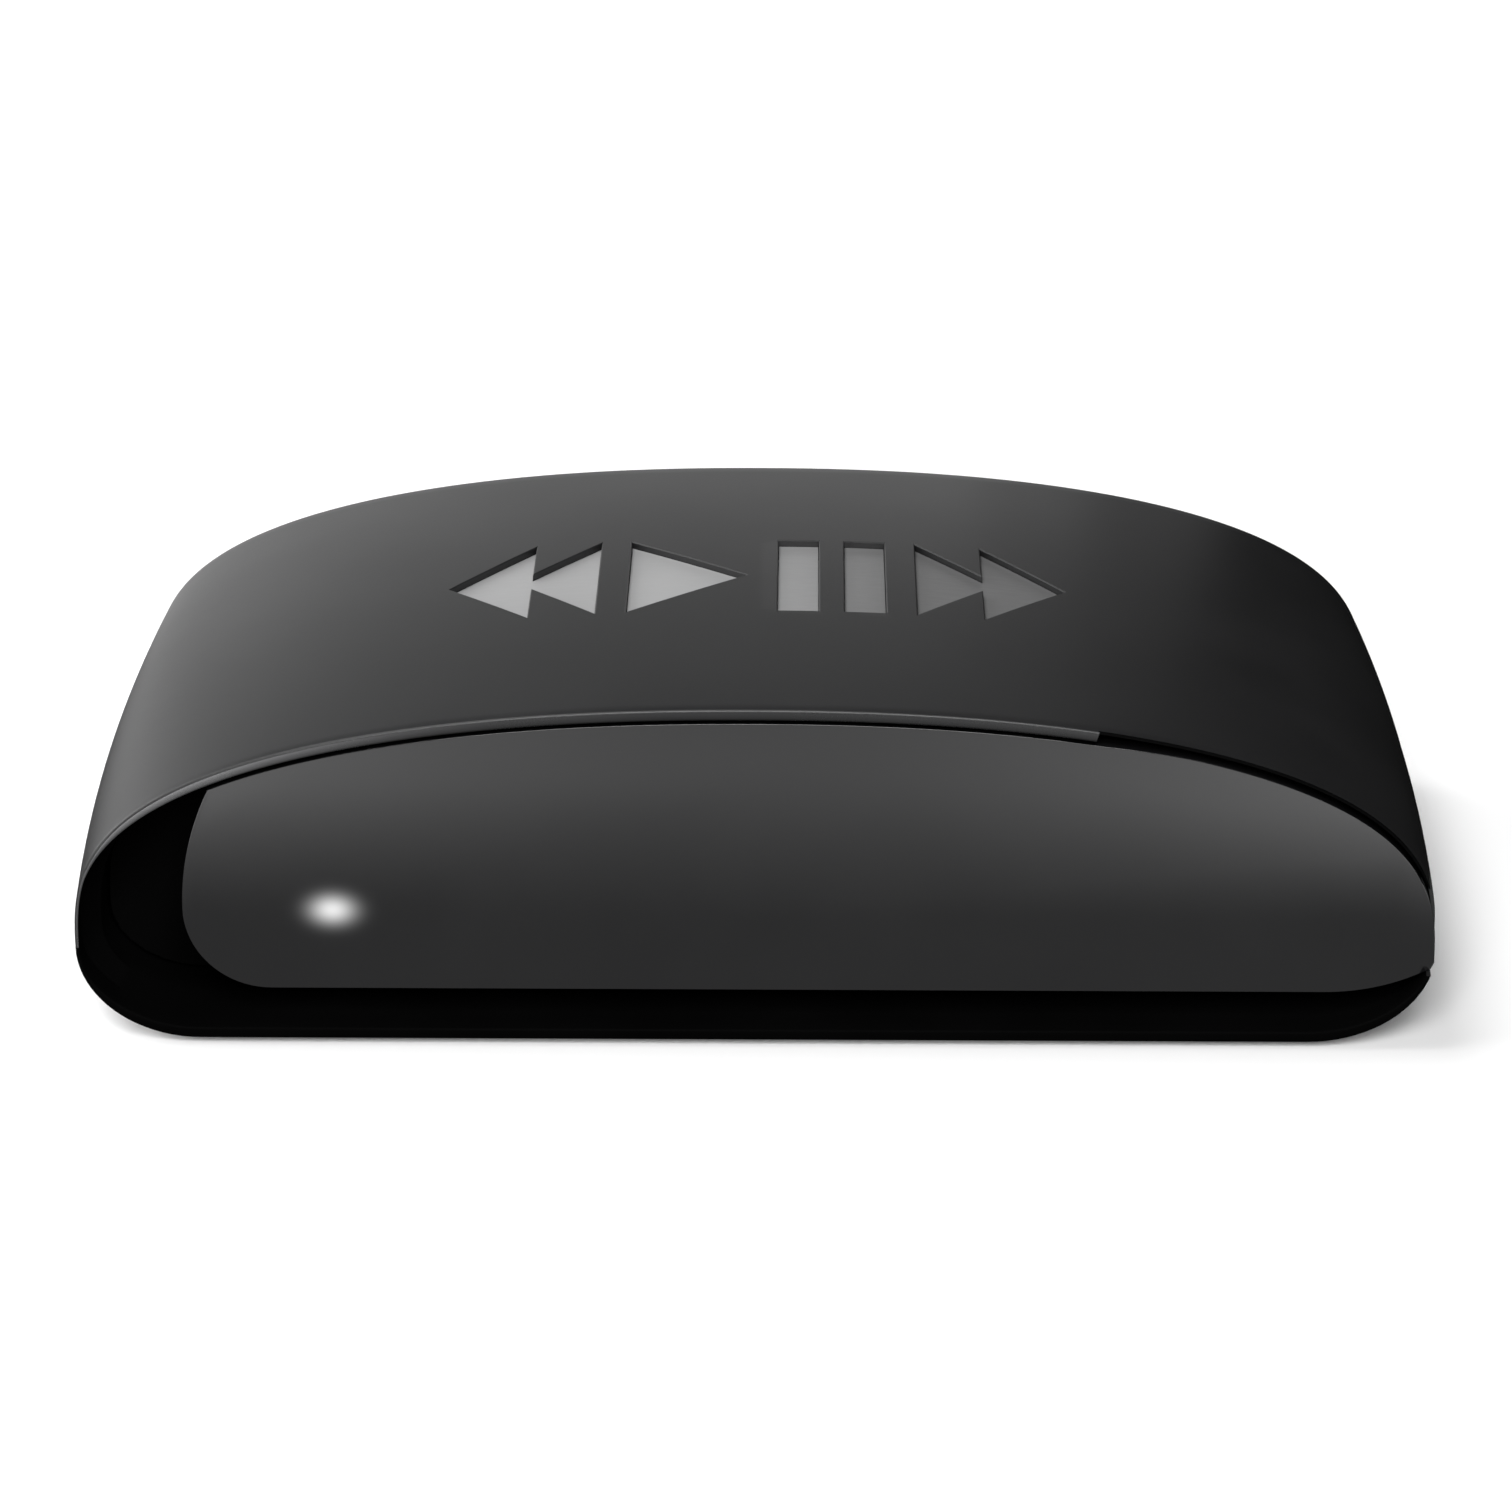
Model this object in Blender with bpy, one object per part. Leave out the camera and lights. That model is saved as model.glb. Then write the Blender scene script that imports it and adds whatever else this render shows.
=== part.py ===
"""Streaming media player in metres, +Z up: front towards -Y, origin at the bottom centre of the whole object.

An arched sleeve slides over a core: window and carrier at the front, circuit board on a tray, and a rear
cover with an HDMI socket, a micro-USB socket and a reset button that presses a small switch.
"""

import math

import bmesh
import bpy
from mathutils import Matrix, Vector

MM = 0.001
GAP = 0.3 * MM  # clearance between pieces that rest against each other

# Outer sleeve: an arch over a flat base, open at both ends
RIM_WIDTH = 72.0 * MM
DEPTH = 38.5 * MM
HEIGHT = 19.03 * MM
WAIST = 5.26 * MM  # height of the widest point above the sleeve's base
SIDE_SWELL = 0.0202  # extra width at mid-depth, as a share of the rim's width
ARCH_POWER_X = 2.19
ARCH_POWER_Z = 2.85
WAIST_CROWDING = 1.4  # spaces the arch's points evenly where it rises steeply
CORNER_RUN = 6.47 * MM  # half-axis along X of the rounded lower corners
WALL = 1.2 * MM
FRONT_LIP = 0.62 * MM
FRONT_LIP_LEAST = 0.2 * MM  # the right rim thins down to this before the window's notch
FRONT_LIP_DEPTH = 2.2 * MM
FRONT_RAMP_DEPTH = 3.4 * MM
REAR_LIP = 0.8 * MM
REAR_LIP_DEPTH = 2.5 * MM
REAR_RAMP_DEPTH = 3.1 * MM
ARCH_STEPS = 22  # segments from the waist to the crown
CORNER_STEPS = 7
HALF_STEP = 0.5 / ARCH_STEPS  # least turn between the arch's last point and the window's top left corner
EDGE_STEPS = 6  # segments along the window's rising right end and its leaning left edge
SWELL_STEPS = 10
BASE = 0.4 * MM  # the sleeve's base stands this high on its feet

# Feet and rating label, seated in recesses of the sleeve's base
FOOT_RADIUS = 3.2 * MM
FOOT_THICKNESS = 0.6 * MM
FOOT_X = 24.5 * MM
FOOT_Y = 14.0 * MM
FOOT_RECESS = 0.5 * MM
FOOT_CHAMFER = 0.15 * MM
LABEL_SIZE = (26.0 * MM, 14.0 * MM, 0.12 * MM)
LABEL_RECESS = 0.45 * MM
LABEL_DEPTH = 0.03 * MM  # how far the label's face lies inside the base

# Front window, flush with the sleeve's right side where the rim is notched
WINDOW_SETBACK = 0.55 * MM
WINDOW_THICKNESS = 1.2 * MM
WINDOW_DROP = 1.0 * MM  # the window's top edge follows the arch, this much lower
WINDOW_LEFT = -30.3 * MM
WINDOW_FLOOR = 2.7 * MM
WINDOW_CORNER = 4.6 * MM
WINDOW_RIGHT_TURN = 30.5 * MM  # where the lower edge starts to rise
LEFT_EDGE_RADIUS = 14.75 * MM
NOTCH_LOW = 3.86 * MM
NOTCH_HIGH = 9.0 * MM
NOTCH_INNER = 33.0 * MM

# Window carrier: a hollow boss behind the window on a bulkhead that fills the sleeve
BOSS_INSET = 2.0 * MM
BOSS_LEFT = -29.3 * MM
BOSS_FLOOR = 3.5 * MM
BOSS_CORNER = 3.6 * MM
BOSS_RIGHT_TURN = 29.0 * MM
BOSS_WALL = 1.2 * MM
BULKHEAD_INSET = WALL + GAP
BULKHEAD_FRONT = -13.2 * MM
BULKHEAD_BACK = -12.0 * MM

# Sunk transport symbols on the crown, filled from below by one inlay
SYMBOL_Y = 1.1 * MM
SYMBOL_HEIGHT = 11.2 * MM
ARROW_WIDTH = 4.6 * MM
ARROW_STEP = 3.7 * MM
PLAY_WIDTH = 6.6 * MM
BAR_WIDTH = 2.3 * MM
BAR_GAP = 1.4 * MM
REWIND_X = -17.1 * MM
PLAY_X = -7.1 * MM
PAUSE_X = 1.2 * MM
FORWARD_X = 8.9 * MM
SYMBOL_CLEARANCE = 0.2 * MM
SYMBOL_SINK = 0.35 * MM  # depth of the inlay's faces under the sleeve's surface
INLAY_HALF_WIDTH = 19.5 * MM
INLAY_FRONT = -6.4 * MM
INLAY_BACK = 8.6 * MM
INLAY_STEPS = 4
INLAY_TOP_INSET = 1.45 * MM
INLAY_BOTTOM_INSET = 2.1 * MM

# Rear cover
COVER_INSET = REAR_LIP + GAP
COVER_RECESS = 1.0 * MM
COVER_THICKNESS = 1.2 * MM
COVER_HOLE_MARGIN = 0.35 * MM

# Inner tray and its snap arms (the arms belong to the cover and to the carrier)
TRAY_FLOOR = 1.5 * MM
TRAY_THICKNESS = 1.0 * MM
TRAY_HALF_WIDTH = 30.5 * MM
TRAY_FRONT = -11.7 * MM
TRAY_BACK = 16.7 * MM
TRAY_WALL = 1.0 * MM
TRAY_WALL_HEIGHT = 6.0 * MM
STANDOFF_RADIUS = 2.2 * MM
ARM_X = 18.0 * MM
ARM_WIDTH = 5.0 * MM
ARM_THICKNESS = 1.0 * MM
ARM_LENGTH = 5.2 * MM
BARB = 1.0 * MM

# Circuit board
BOARD_HALF_WIDTH = 29.0 * MM
BOARD_FRONT = -11.2 * MM
BOARD_BACK = 16.3 * MM
BOARD_THICKNESS = 1.0 * MM
BOARD_UNDERSIDE = 4.9 * MM
BOARD_TOP = BOARD_UNDERSIDE + BOARD_THICKNESS
SCREW_X = 26.0 * MM
SCREW_Y = (-8.2 * MM, 13.2 * MM)
SCREW_PLACES = tuple((x, y) for y in SCREW_Y for x in (-SCREW_X, SCREW_X))
SCREW_SHANK_RADIUS = 0.8 * MM
SCREW_HEAD_RADIUS = 1.8 * MM
SCREW_HEAD_HEIGHT = 1.0 * MM
SCREW_DOME = 0.6  # share of the head's height and radius where its dome starts and ends
SCREW_REACH = 2.9 * MM  # shank length under the head
SCREW_SLOT = (0.5 * MM, 2.4 * MM, 0.5 * MM)

# Parts that stand on the board: name, centre x and y, size along X, Y and Z, material
BOARD_CHIPS = (
    ("soc_package", 0.0, -1.5, 13.0, 13.0, 1.3, "chip"),
    ("memory_chip", 11.1, -1.0, 8.0, 10.0, 1.0, "chip"),
    ("flash_chip", 22.5, 0.5, 6.0, 8.0, 0.9, "chip"),
    ("wireless_chip", -17.0, 0.0, 7.0, 7.0, 0.9, "chip"),
    ("crystal", 0.2, 7.8, 3.2, 2.5, 0.8, "steel"),
    ("power_inductor", -22.0, 9.4, 4.2, 4.2, 2.2, "ferrite"),
)
CAPACITORS = (
    ("bulk_capacitor_1", -7.0, 8.6),
    ("bulk_capacitor_2", -7.0, 12.6),
    ("bulk_capacitor_3", 23.2, 8.2),
)
CAPACITOR_RADIUS = 1.6 * MM
CAPACITOR_HEIGHT = 3.2 * MM
CAPACITOR_ROUNDING = 0.3 * MM

SHIELD_CENTRE = (-17.0 * MM, 0.0)
SHIELD_SIZE = (12.0 * MM, 11.0 * MM)
SHIELD_WALL = 0.3 * MM
SHIELD_HEIGHT = 2.0 * MM
SHIELD_LID_THICKNESS = 0.4 * MM

PAD_SIZE = (12.0 * MM, 12.0 * MM, 0.6 * MM)
SOC_CENTRE = (0.0, -1.5 * MM)
SOC_HEIGHT = 1.3 * MM
SPREADER_X = (-8.5 * MM, 17.0 * MM)
SPREADER_Y = (-8.6 * MM, 5.6 * MM)
SPREADER_PLATE = 1.0 * MM
FIN_HEIGHT = 2.4 * MM
FIN_THICKNESS = 0.9 * MM
FIN_COUNT = 6
PIN_PLACES = ((-7.1 * MM, 4.2 * MM), (15.6 * MM, -7.2 * MM))
PIN_RADIUS = 0.6 * MM
PIN_HEAD_RADIUS = 1.1 * MM
PIN_HEAD_HEIGHT = 0.6 * MM
PIN_POCKET = 3.4 * MM  # square clearing of the fins round each pin
PIN_POCKET_SINK = 0.15 * MM  # the clearing reaches this far into the plate

ANTENNA_X = 27.6 * MM
ANTENNA_Y = (-3.5 * MM, 8.5 * MM)
ANTENNA_THICKNESS = 0.3 * MM
ANTENNA_HEIGHT = 4.6 * MM
ANTENNA_FLANGE = 2.2 * MM
ANTENNA_SLOT = (1.2 * MM, 9.0 * MM)  # height and length of the opening over its foot

# Status light and infrared receiver behind the window
LIGHT_X = -22.3 * MM
LIGHT_Z = 7.3 * MM
LIGHT_PIPE_RADIUS = 1.2 * MM
LED_SIZE = (2.0 * MM, 1.0 * MM, 2.6 * MM)
LED_FACE = -10.9 * MM
RECEIVER_X = -12.5 * MM
RECEIVER_SIZE = (5.0 * MM, 2.6 * MM, 5.0 * MM)
RECEIVER_FACE = -11.0 * MM
RECEIVER_LENS_RADIUS = 1.7 * MM
RECEIVER_LENS_DEGREES = (-75, -50, -25, 0)
RECEIVER_OPENING = (5.0 * MM, 4.6 * MM)

# HDMI socket
HDMI_X = 12.0 * MM
HDMI_HALF_WIDTH = 7.4 * MM
HDMI_HEIGHT = 5.4 * MM
HDMI_WALL = 0.4 * MM
HDMI_FRONT = 6.95 * MM
SOCKET_MOUTH = 17.95 * MM
HDMI_CHAMFER_LOW = 0.9 * MM
HDMI_CHAMFER_HIGH = 2.2 * MM
HDMI_FLOOR_HALF_WIDTH = 6.0 * MM
HDMI_TONGUE_HALF_WIDTH = 5.3 * MM
HDMI_TONGUE_THICKNESS = 1.15 * MM
HDMI_TONGUE_LOW = 2.2 * MM
HDMI_TONGUE_SETBACK = 1.6 * MM
HDMI_BLOCK_DEPTH = 1.6 * MM

# Micro-USB power socket
USB_X = -14.0 * MM
USB_HALF_WIDTH = 3.8 * MM
USB_HEIGHT = 2.75 * MM
USB_WALL = 0.3 * MM
USB_FRONT = 12.4 * MM
USB_CHAMFER_LOW = 0.4 * MM
USB_CHAMFER_HIGH = 1.2 * MM
USB_FLOOR_HALF_WIDTH = 3.0 * MM
USB_TONGUE_HALF_WIDTH = 1.85 * MM
USB_TONGUE_THICKNESS = 0.5 * MM
USB_TONGUE_LOW = 1.45 * MM
USB_TONGUE_SETBACK = 1.0 * MM
USB_BLOCK_DEPTH = 0.9 * MM

# Reset button and the switch it presses, both sliding along Y
BUTTON_X = -1.0 * MM
BUTTON_Z = 8.3 * MM
BUTTON_TRAVEL = 0.4 * MM
BUTTON_RADIUS = 1.5 * MM
BUTTON_PROUD = 0.25 * MM
BUTTON_ROUNDING = 0.25 * MM
FLANGE_RADIUS = 2.3 * MM
FLANGE_THICKNESS = 0.6 * MM
STEM_RADIUS = 0.9 * MM
STEM_LENGTH = 0.3 * MM
PLUNGER_RADIUS = 0.8 * MM
PLUNGER_REACH = 1.0 * MM  # how far the plunger stands out of the switch
PLUNGER_DEPTH = 1.0 * MM  # how far it sits inside
SWITCH_SIZE = (4.6 * MM, 3.2 * MM, 4.2 * MM)

ROUND_SIDES = 24
SMALL_ROUND_SIDES = 16
SMOOTH_ANGLE = math.radians(35)
SEARCH_ROUNDS = 40

COVER_FRONT = DEPTH / 2 - COVER_RECESS - COVER_THICKNESS
COVER_FACE = DEPTH / 2 - COVER_RECESS
WINDOW_FRONT = WINDOW_SETBACK - DEPTH / 2
WINDOW_BACK = WINDOW_FRONT + WINDOW_THICKNESS
BOARD_SURFACE = BOARD_TOP + GAP  # level on which the board's parts stand

# Colour, roughness, metallic
FINISHES = {
    "sleeve": ((0.018, 0.018, 0.019), 0.5, 0.0),
    "window": ((0.012, 0.012, 0.013), 0.12, 0.0),
    "inlay": ((0.36, 0.36, 0.37), 0.35, 0.9),
    "frame": ((0.02, 0.02, 0.021), 0.6, 0.0),
    "board": ((0.01, 0.09, 0.04), 0.45, 0.0),
    "chip": ((0.02, 0.02, 0.022), 0.55, 0.0),
    "ferrite": ((0.05, 0.05, 0.055), 0.7, 0.0),
    "steel": ((0.62, 0.62, 0.62), 0.3, 1.0),
    "aluminium": ((0.72, 0.73, 0.74), 0.4, 1.0),
    "gap_pad": ((0.3, 0.36, 0.42), 0.8, 0.0),
    "contact_block": ((0.03, 0.03, 0.03), 0.5, 0.0),
    "clear_plastic": ((0.85, 0.87, 0.9), 0.1, 0.0),
    "led": ((0.9, 0.9, 0.85), 0.3, 0.0),
    "rubber": ((0.03, 0.03, 0.03), 0.85, 0.0),
    "label": ((0.7, 0.7, 0.7), 0.6, 0.0),
    "button": ((0.03, 0.03, 0.031), 0.45, 0.0),
}


# Scene and object helpers

def clear_scene():
    for obj in list(bpy.data.objects):
        bpy.data.objects.remove(obj, do_unlink=True)


def make_materials():
    materials = {}
    for name, (colour, roughness, metallic) in FINISHES.items():
        material = bpy.data.materials.new(name)
        material.use_nodes = True
        shader = material.node_tree.nodes["Principled BSDF"]
        shader.inputs["Base Color"].default_value = (*colour, 1.0)
        shader.inputs["Roughness"].default_value = roughness
        shader.inputs["Metallic"].default_value = metallic
        materials[name] = material
    return materials


def add_empty(name, place=(0.0, 0.0, 0.0), parent=None):
    empty = bpy.data.objects.new(name, None)
    bpy.context.scene.collection.objects.link(empty)
    empty.location = place
    empty.parent = parent
    return empty


def add_object(name, shape, place=(0.0, 0.0, 0.0)):
    """Turns a bmesh into a named object with outward faces and smooth round sides."""
    bmesh.ops.recalc_face_normals(shape, faces=shape.faces)
    mesh = bpy.data.meshes.new(name)
    shape.to_mesh(mesh)
    shape.free()
    mesh.shade_smooth()
    mesh.set_sharp_from_angle(angle=SMOOTH_ANGLE)
    obj = bpy.data.objects.new(name, mesh)
    bpy.context.scene.collection.objects.link(obj)
    obj.location = place
    return obj


def add_part(name, shape, finish, parent, place=(0.0, 0.0, 0.0)):
    obj = add_object(name, shape, place)
    obj.data.materials.append(MATERIALS[finish])
    obj.parent = parent
    return obj


def add_helper(name, shape, parent, place=(0.0, 0.0, 0.0)):
    """Hidden operand of a Boolean, in its parent's frame."""
    helper = add_object(name, shape, place)
    helper.parent = parent
    helper.hide_render = True
    helper.display_type = "WIRE"
    return helper


def add_boolean(target, operation, helper):
    modifier = target.modifiers.new(helper.name, "BOOLEAN")
    modifier.operation = operation
    modifier.solver = "EXACT"
    modifier.object = helper


def cut(target, label, shape, place=(0.0, 0.0, 0.0)):
    add_boolean(target, "DIFFERENCE", add_helper(f"{target.name}_{label}", shape, target, place))


def join(target, label, shape, place=(0.0, 0.0, 0.0)):
    add_boolean(target, "UNION", add_helper(f"{target.name}_{label}", shape, target, place))


# Shapes

def loft(rings, closed, shape=None):
    """Skin over equal rings of points: ends capped, or the last ring joined to the first."""
    shape = shape or bmesh.new()
    loops = [[shape.verts.new(point) for point in ring] for ring in rings]
    pairs = list(zip(loops, loops[1:]))
    if closed:
        pairs.append((loops[-1], loops[0]))
    else:
        shape.faces.new(loops[0])
        shape.faces.new(loops[-1])
    for near, far in pairs:
        for here in range(len(near)):
            after = (here + 1) % len(near)
            shape.faces.new((near[here], near[after], far[after], far[here]))
    return shape


def prism_y(outline, front, back):
    """Outline of (x, z) points pulled along Y."""
    return loft([[(x, y, z) for x, z in outline] for y in (front, back)], closed=False)


def prism_x(outline, left, right):
    """Outline of (y, z) points pulled along X."""
    return loft([[(x, y, z) for y, z in outline] for x in (left, right)], closed=False)


def prism_z(outline, low, high, shape=None):
    """Outline of (x, y) points pulled along Z."""
    return loft([[(x, y, z) for x, y in outline] for z in (low, high)], closed=False, shape=shape)


def block(low, high):
    (x0, y0, z0), (x1, y1, z1) = low, high
    return prism_z([(x0, y0), (x1, y0), (x1, y1), (x0, y1)], z0, z1)


def standing_block(size):
    """Block centred in X and Y that stands on its own origin."""
    x, y, z = size
    return block((-x / 2, -y / 2, 0.0), (x / 2, y / 2, z))


def turned(profile, sides, axis="Z"):
    """Solid of revolution from (radius, height) points that run from bottom to top, along Z or Y."""
    rings = []
    for radius, height in profile:
        ring = []
        for side in range(sides):
            angle = math.tau * side / sides
            ring.append(Vector((radius * math.cos(angle), radius * math.sin(angle), height)))
        rings.append(ring)
    shape = loft(rings, closed=False)
    if axis == "Y":
        bmesh.ops.rotate(shape, verts=shape.verts, matrix=Matrix.Rotation(-math.pi / 2, 3, "X"))
    return shape


def rod(radius, low, high, sides=ROUND_SIDES, axis="Z"):
    return turned([(radius, low), (radius, high)], sides, axis)


def shrunk(outline, distance):
    """Anticlockwise outline with every edge moved in by the same distance."""
    moved = []
    for index, point in enumerate(outline):
        here = Vector(point)
        before = (here - Vector(outline[index - 1])).normalized()
        after = (Vector(outline[(index + 1) % len(outline)]) - here).normalized()
        inward_before = Vector((-before.y, before.x))
        inward_after = Vector((-after.y, after.x))
        middle = (inward_before + inward_after).normalized()
        moved.append(tuple(here + middle * (distance / middle.dot(inward_before))))
    return moved


# The sleeve's cross-section

def swell(y):
    """Width of the sleeve at depth y, as a share of the rim's width."""
    return 1 + SIDE_SWELL * (1 - (2 * y / DEPTH) ** 2)


def arch_with_normal(turn):
    """Point and outward normal of the arch: turn is 0 at the right waist, 1 at the crown, 2 at the left."""
    side = 1 if turn <= 1 else -1
    angle = math.pi / 2 * min(turn, 2 - turn) ** WAIST_CROWDING
    across = math.cos(angle) ** (2 / ARCH_POWER_X)
    up = math.sin(angle) ** (2 / ARCH_POWER_Z)
    half_width = RIM_WIDTH / 2
    rise = HEIGHT - WAIST
    normal = Vector((
        side * ARCH_POWER_X * across ** (ARCH_POWER_X - 1) / half_width,
        ARCH_POWER_Z * up ** (ARCH_POWER_Z - 1) / rise,
    ))
    return Vector((side * half_width * across, WAIST + rise * up)), normal.normalized()


def arch(turn, inset=0.0, drop=0.0):
    point, normal = arch_with_normal(turn)
    moved = point - normal * inset
    return moved.x, moved.y - drop


def corner_with_normal(side, share):
    """Point and normal on a lower corner: share is 0 at the waist and 1 where the flat base starts."""
    angle = math.pi / 2 * share
    centre_x = RIM_WIDTH / 2 - CORNER_RUN
    point = Vector((side * (centre_x + CORNER_RUN * math.cos(angle)), WAIST - WAIST * math.sin(angle)))
    normal = Vector((side * math.cos(angle) / CORNER_RUN, -math.sin(angle) / WAIST))
    return point, normal.normalized()


def section():
    """Cross-section points with normals, anticlockwise from the right waist."""
    points = [arch_with_normal(step / ARCH_STEPS) for step in range(2 * ARCH_STEPS + 1)]
    points += [corner_with_normal(-1, step / CORNER_STEPS) for step in range(1, CORNER_STEPS + 1)]
    points += [corner_with_normal(1, step / CORNER_STEPS) for step in range(CORNER_STEPS, 0, -1)]
    return points


def section_ring(y, inset):
    """Ring at depth y, moved in by inset, which is a length or a function of the normal."""
    ring = []
    for point, normal in section():
        depth = inset(normal) if callable(inset) else inset
        moved = point - normal * depth
        ring.append((moved.x * swell(y), y, moved.y + BASE))
    return ring


def front_lip(normal):
    """Thickness of the front rim: even, but thinning round the right side."""
    if normal.x > 0:
        return max(FRONT_LIP_LEAST, FRONT_LIP * abs(normal.y))
    return FRONT_LIP


def sleeve_rings():
    front = -DEPTH / 2
    outside = [section_ring(front + DEPTH * step / SWELL_STEPS, 0.0) for step in range(SWELL_STEPS + 1)]
    inside = [
        section_ring(DEPTH / 2, REAR_LIP),
        section_ring(DEPTH / 2 - REAR_LIP_DEPTH, REAR_LIP),
    ]
    inner_back = DEPTH / 2 - REAR_RAMP_DEPTH
    inner_front = front + FRONT_RAMP_DEPTH
    for step in range(SWELL_STEPS + 1):
        inside.append(section_ring(inner_back + (inner_front - inner_back) * step / SWELL_STEPS, WALL))
    inside.append(section_ring(front + FRONT_LIP_DEPTH, front_lip))
    inside.append(section_ring(front, front_lip))
    return outside + inside


# The window's outline

def rising_arc(start_x, floor, end):
    """Circular arc that leaves the floor level at start_x and rises to the end point."""
    run = end[0] - start_x
    rise = end[1] - floor
    radius = (run * run + rise * rise) / (2 * rise)
    sweep = math.asin(run / radius)
    angles = [sweep * step / EDGE_STEPS for step in range(EDGE_STEPS)]
    return [(start_x + radius * math.sin(a), floor + radius * (1 - math.cos(a))) for a in angles]


def panel_outline(edge, left, floor, corner, right_turn):
    """Window-like outline: an arch edge, a leaning left edge, a rounded corner and a rising right end."""

    def left_edge(z):
        above = max(0.0, z - floor - corner)
        return left + above * above / (2 * LEFT_EDGE_RADIUS)

    low, high = 1.0, 2.0
    for _ in range(SEARCH_ROUNDS):
        middle = (low + high) / 2
        x, z = edge(middle)
        if x > left_edge(z):
            low = middle
        else:
            high = middle
    outline = rising_arc(right_turn, floor, edge(0.0))
    steps = [step / ARCH_STEPS for step in range(2 * ARCH_STEPS)]
    outline += [edge(turn) for turn in steps if turn + HALF_STEP < low]
    top_z = edge(low)[1]
    for step in range(EDGE_STEPS):
        z = top_z + (floor + corner - top_z) * step / EDGE_STEPS
        outline.append((left_edge(z), z))
    for step in range(CORNER_STEPS + 1):
        angle = math.pi / 2 * step / CORNER_STEPS
        outline.append((left + corner - corner * math.cos(angle), floor + corner - corner * math.sin(angle)))
    return outline


def window_outline():
    return panel_outline(
        lambda turn: arch(turn, drop=WINDOW_DROP), WINDOW_LEFT, WINDOW_FLOOR, WINDOW_CORNER, WINDOW_RIGHT_TURN
    )


def boss_outline():
    return panel_outline(
        lambda turn: arch(turn, inset=BOSS_INSET), BOSS_LEFT, BOSS_FLOOR, BOSS_CORNER, BOSS_RIGHT_TURN
    )


def raised(outline):
    """Outline measured from the sleeve's base, moved up to where the base stands."""
    return [(x, z + BASE) for x, z in outline]


# The transport symbols, as anticlockwise (x, y) outlines

def single_arrow(start, width):
    half = SYMBOL_HEIGHT / 2
    return [(start, SYMBOL_Y - half), (start + width, SYMBOL_Y), (start, SYMBOL_Y + half)]


def double_arrow(start):
    """Two overlapping arrows that point to +X."""
    half = SYMBOL_HEIGHT / 2
    second = start + ARROW_STEP
    notch = half * (1 - ARROW_STEP / ARROW_WIDTH)
    return [
        (start, SYMBOL_Y - half),
        (second, SYMBOL_Y - notch),
        (second, SYMBOL_Y - half),
        (second + ARROW_WIDTH, SYMBOL_Y),
        (second, SYMBOL_Y + half),
        (second, SYMBOL_Y + notch),
        (start, SYMBOL_Y + half),
    ]


def bar(start):
    half = SYMBOL_HEIGHT / 2
    end = start + BAR_WIDTH
    return [
        (start, SYMBOL_Y - half),
        (end, SYMBOL_Y - half),
        (end, SYMBOL_Y + half),
        (start, SYMBOL_Y + half),
    ]


def mirrored(outline):
    return [(-x, y) for x, y in reversed(outline)]


def symbol_outlines():
    rewind_tip = -REWIND_X - ARROW_STEP - ARROW_WIDTH
    return (
        mirrored(double_arrow(rewind_tip)),
        single_arrow(PLAY_X, PLAY_WIDTH),
        bar(PAUSE_X),
        bar(PAUSE_X + BAR_WIDTH + BAR_GAP),
        double_arrow(FORWARD_X),
    )


def symbol_prisms(margin):
    """All symbols as upright prisms through the crown, each edge moved in by the margin."""
    shape = bmesh.new()
    for outline in symbol_outlines():
        prism_z(shrunk(outline, margin), HEIGHT / 2, HEIGHT + BASE + MM, shape)
    return shape


# Housing parts

def foot_places():
    corners = [(x, y) for x in (-FOOT_X, FOOT_X) for y in (-FOOT_Y, FOOT_Y)]
    return [(f"foot_{number}", x, y) for number, (x, y) in enumerate(corners, start=1)]


def make_sleeve(parent):
    sleeve = add_part("outer_sleeve", loft(sleeve_rings(), closed=True), "sleeve", parent)
    cut(sleeve, "symbols", symbol_prisms(0.0))
    notch = block(
        (NOTCH_INNER, -DEPTH / 2 - MM, NOTCH_LOW + BASE),
        (RIM_WIDTH / 2 + MM, WINDOW_BACK + GAP, NOTCH_HIGH + BASE),
    )
    cut(sleeve, "window_notch", notch)
    for name, x, y in foot_places():
        recess = rod(FOOT_RADIUS + GAP, BASE - MM, BASE + FOOT_RECESS)
        cut(sleeve, f"{name}_recess", recess, (x, y, 0.0))
    length, width, _ = LABEL_SIZE
    half_x = length / 2 + GAP
    half_y = width / 2 + GAP
    cut(sleeve, "label_recess", block((-half_x, -half_y, BASE - MM), (half_x, half_y, BASE + LABEL_RECESS)))


def make_feet_and_label(parent):
    profile = [
        (FOOT_RADIUS - FOOT_CHAMFER, 0.0),
        (FOOT_RADIUS, FOOT_CHAMFER),
        (FOOT_RADIUS, FOOT_THICKNESS),
    ]
    for name, x, y in foot_places():
        add_part(name, turned(profile, ROUND_SIDES), "rubber", parent, (x, y, 0.0))
    add_part("rating_label", standing_block(LABEL_SIZE), "label", parent, (0.0, 0.0, BASE + LABEL_DEPTH))


def inlay_strip(top_inset, bottom_inset):
    """Curved strip under the crown, between two insets from the sleeve's surface."""
    turns = [step / ARCH_STEPS for step in range(2 * ARCH_STEPS + 1)]
    turns = [turn for turn in turns if abs(arch(turn)[0]) <= INLAY_HALF_WIDTH]
    upper = [arch(turn, inset=top_inset) for turn in turns]
    lower = [arch(turn, inset=bottom_inset) for turn in reversed(turns)]
    rings = []
    for step in range(INLAY_STEPS + 1):
        y = INLAY_FRONT + (INLAY_BACK - INLAY_FRONT) * step / INLAY_STEPS
        rings.append([(x * swell(y), y, z + BASE) for x, z in upper + lower])
    return loft(rings, closed=False)


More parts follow.
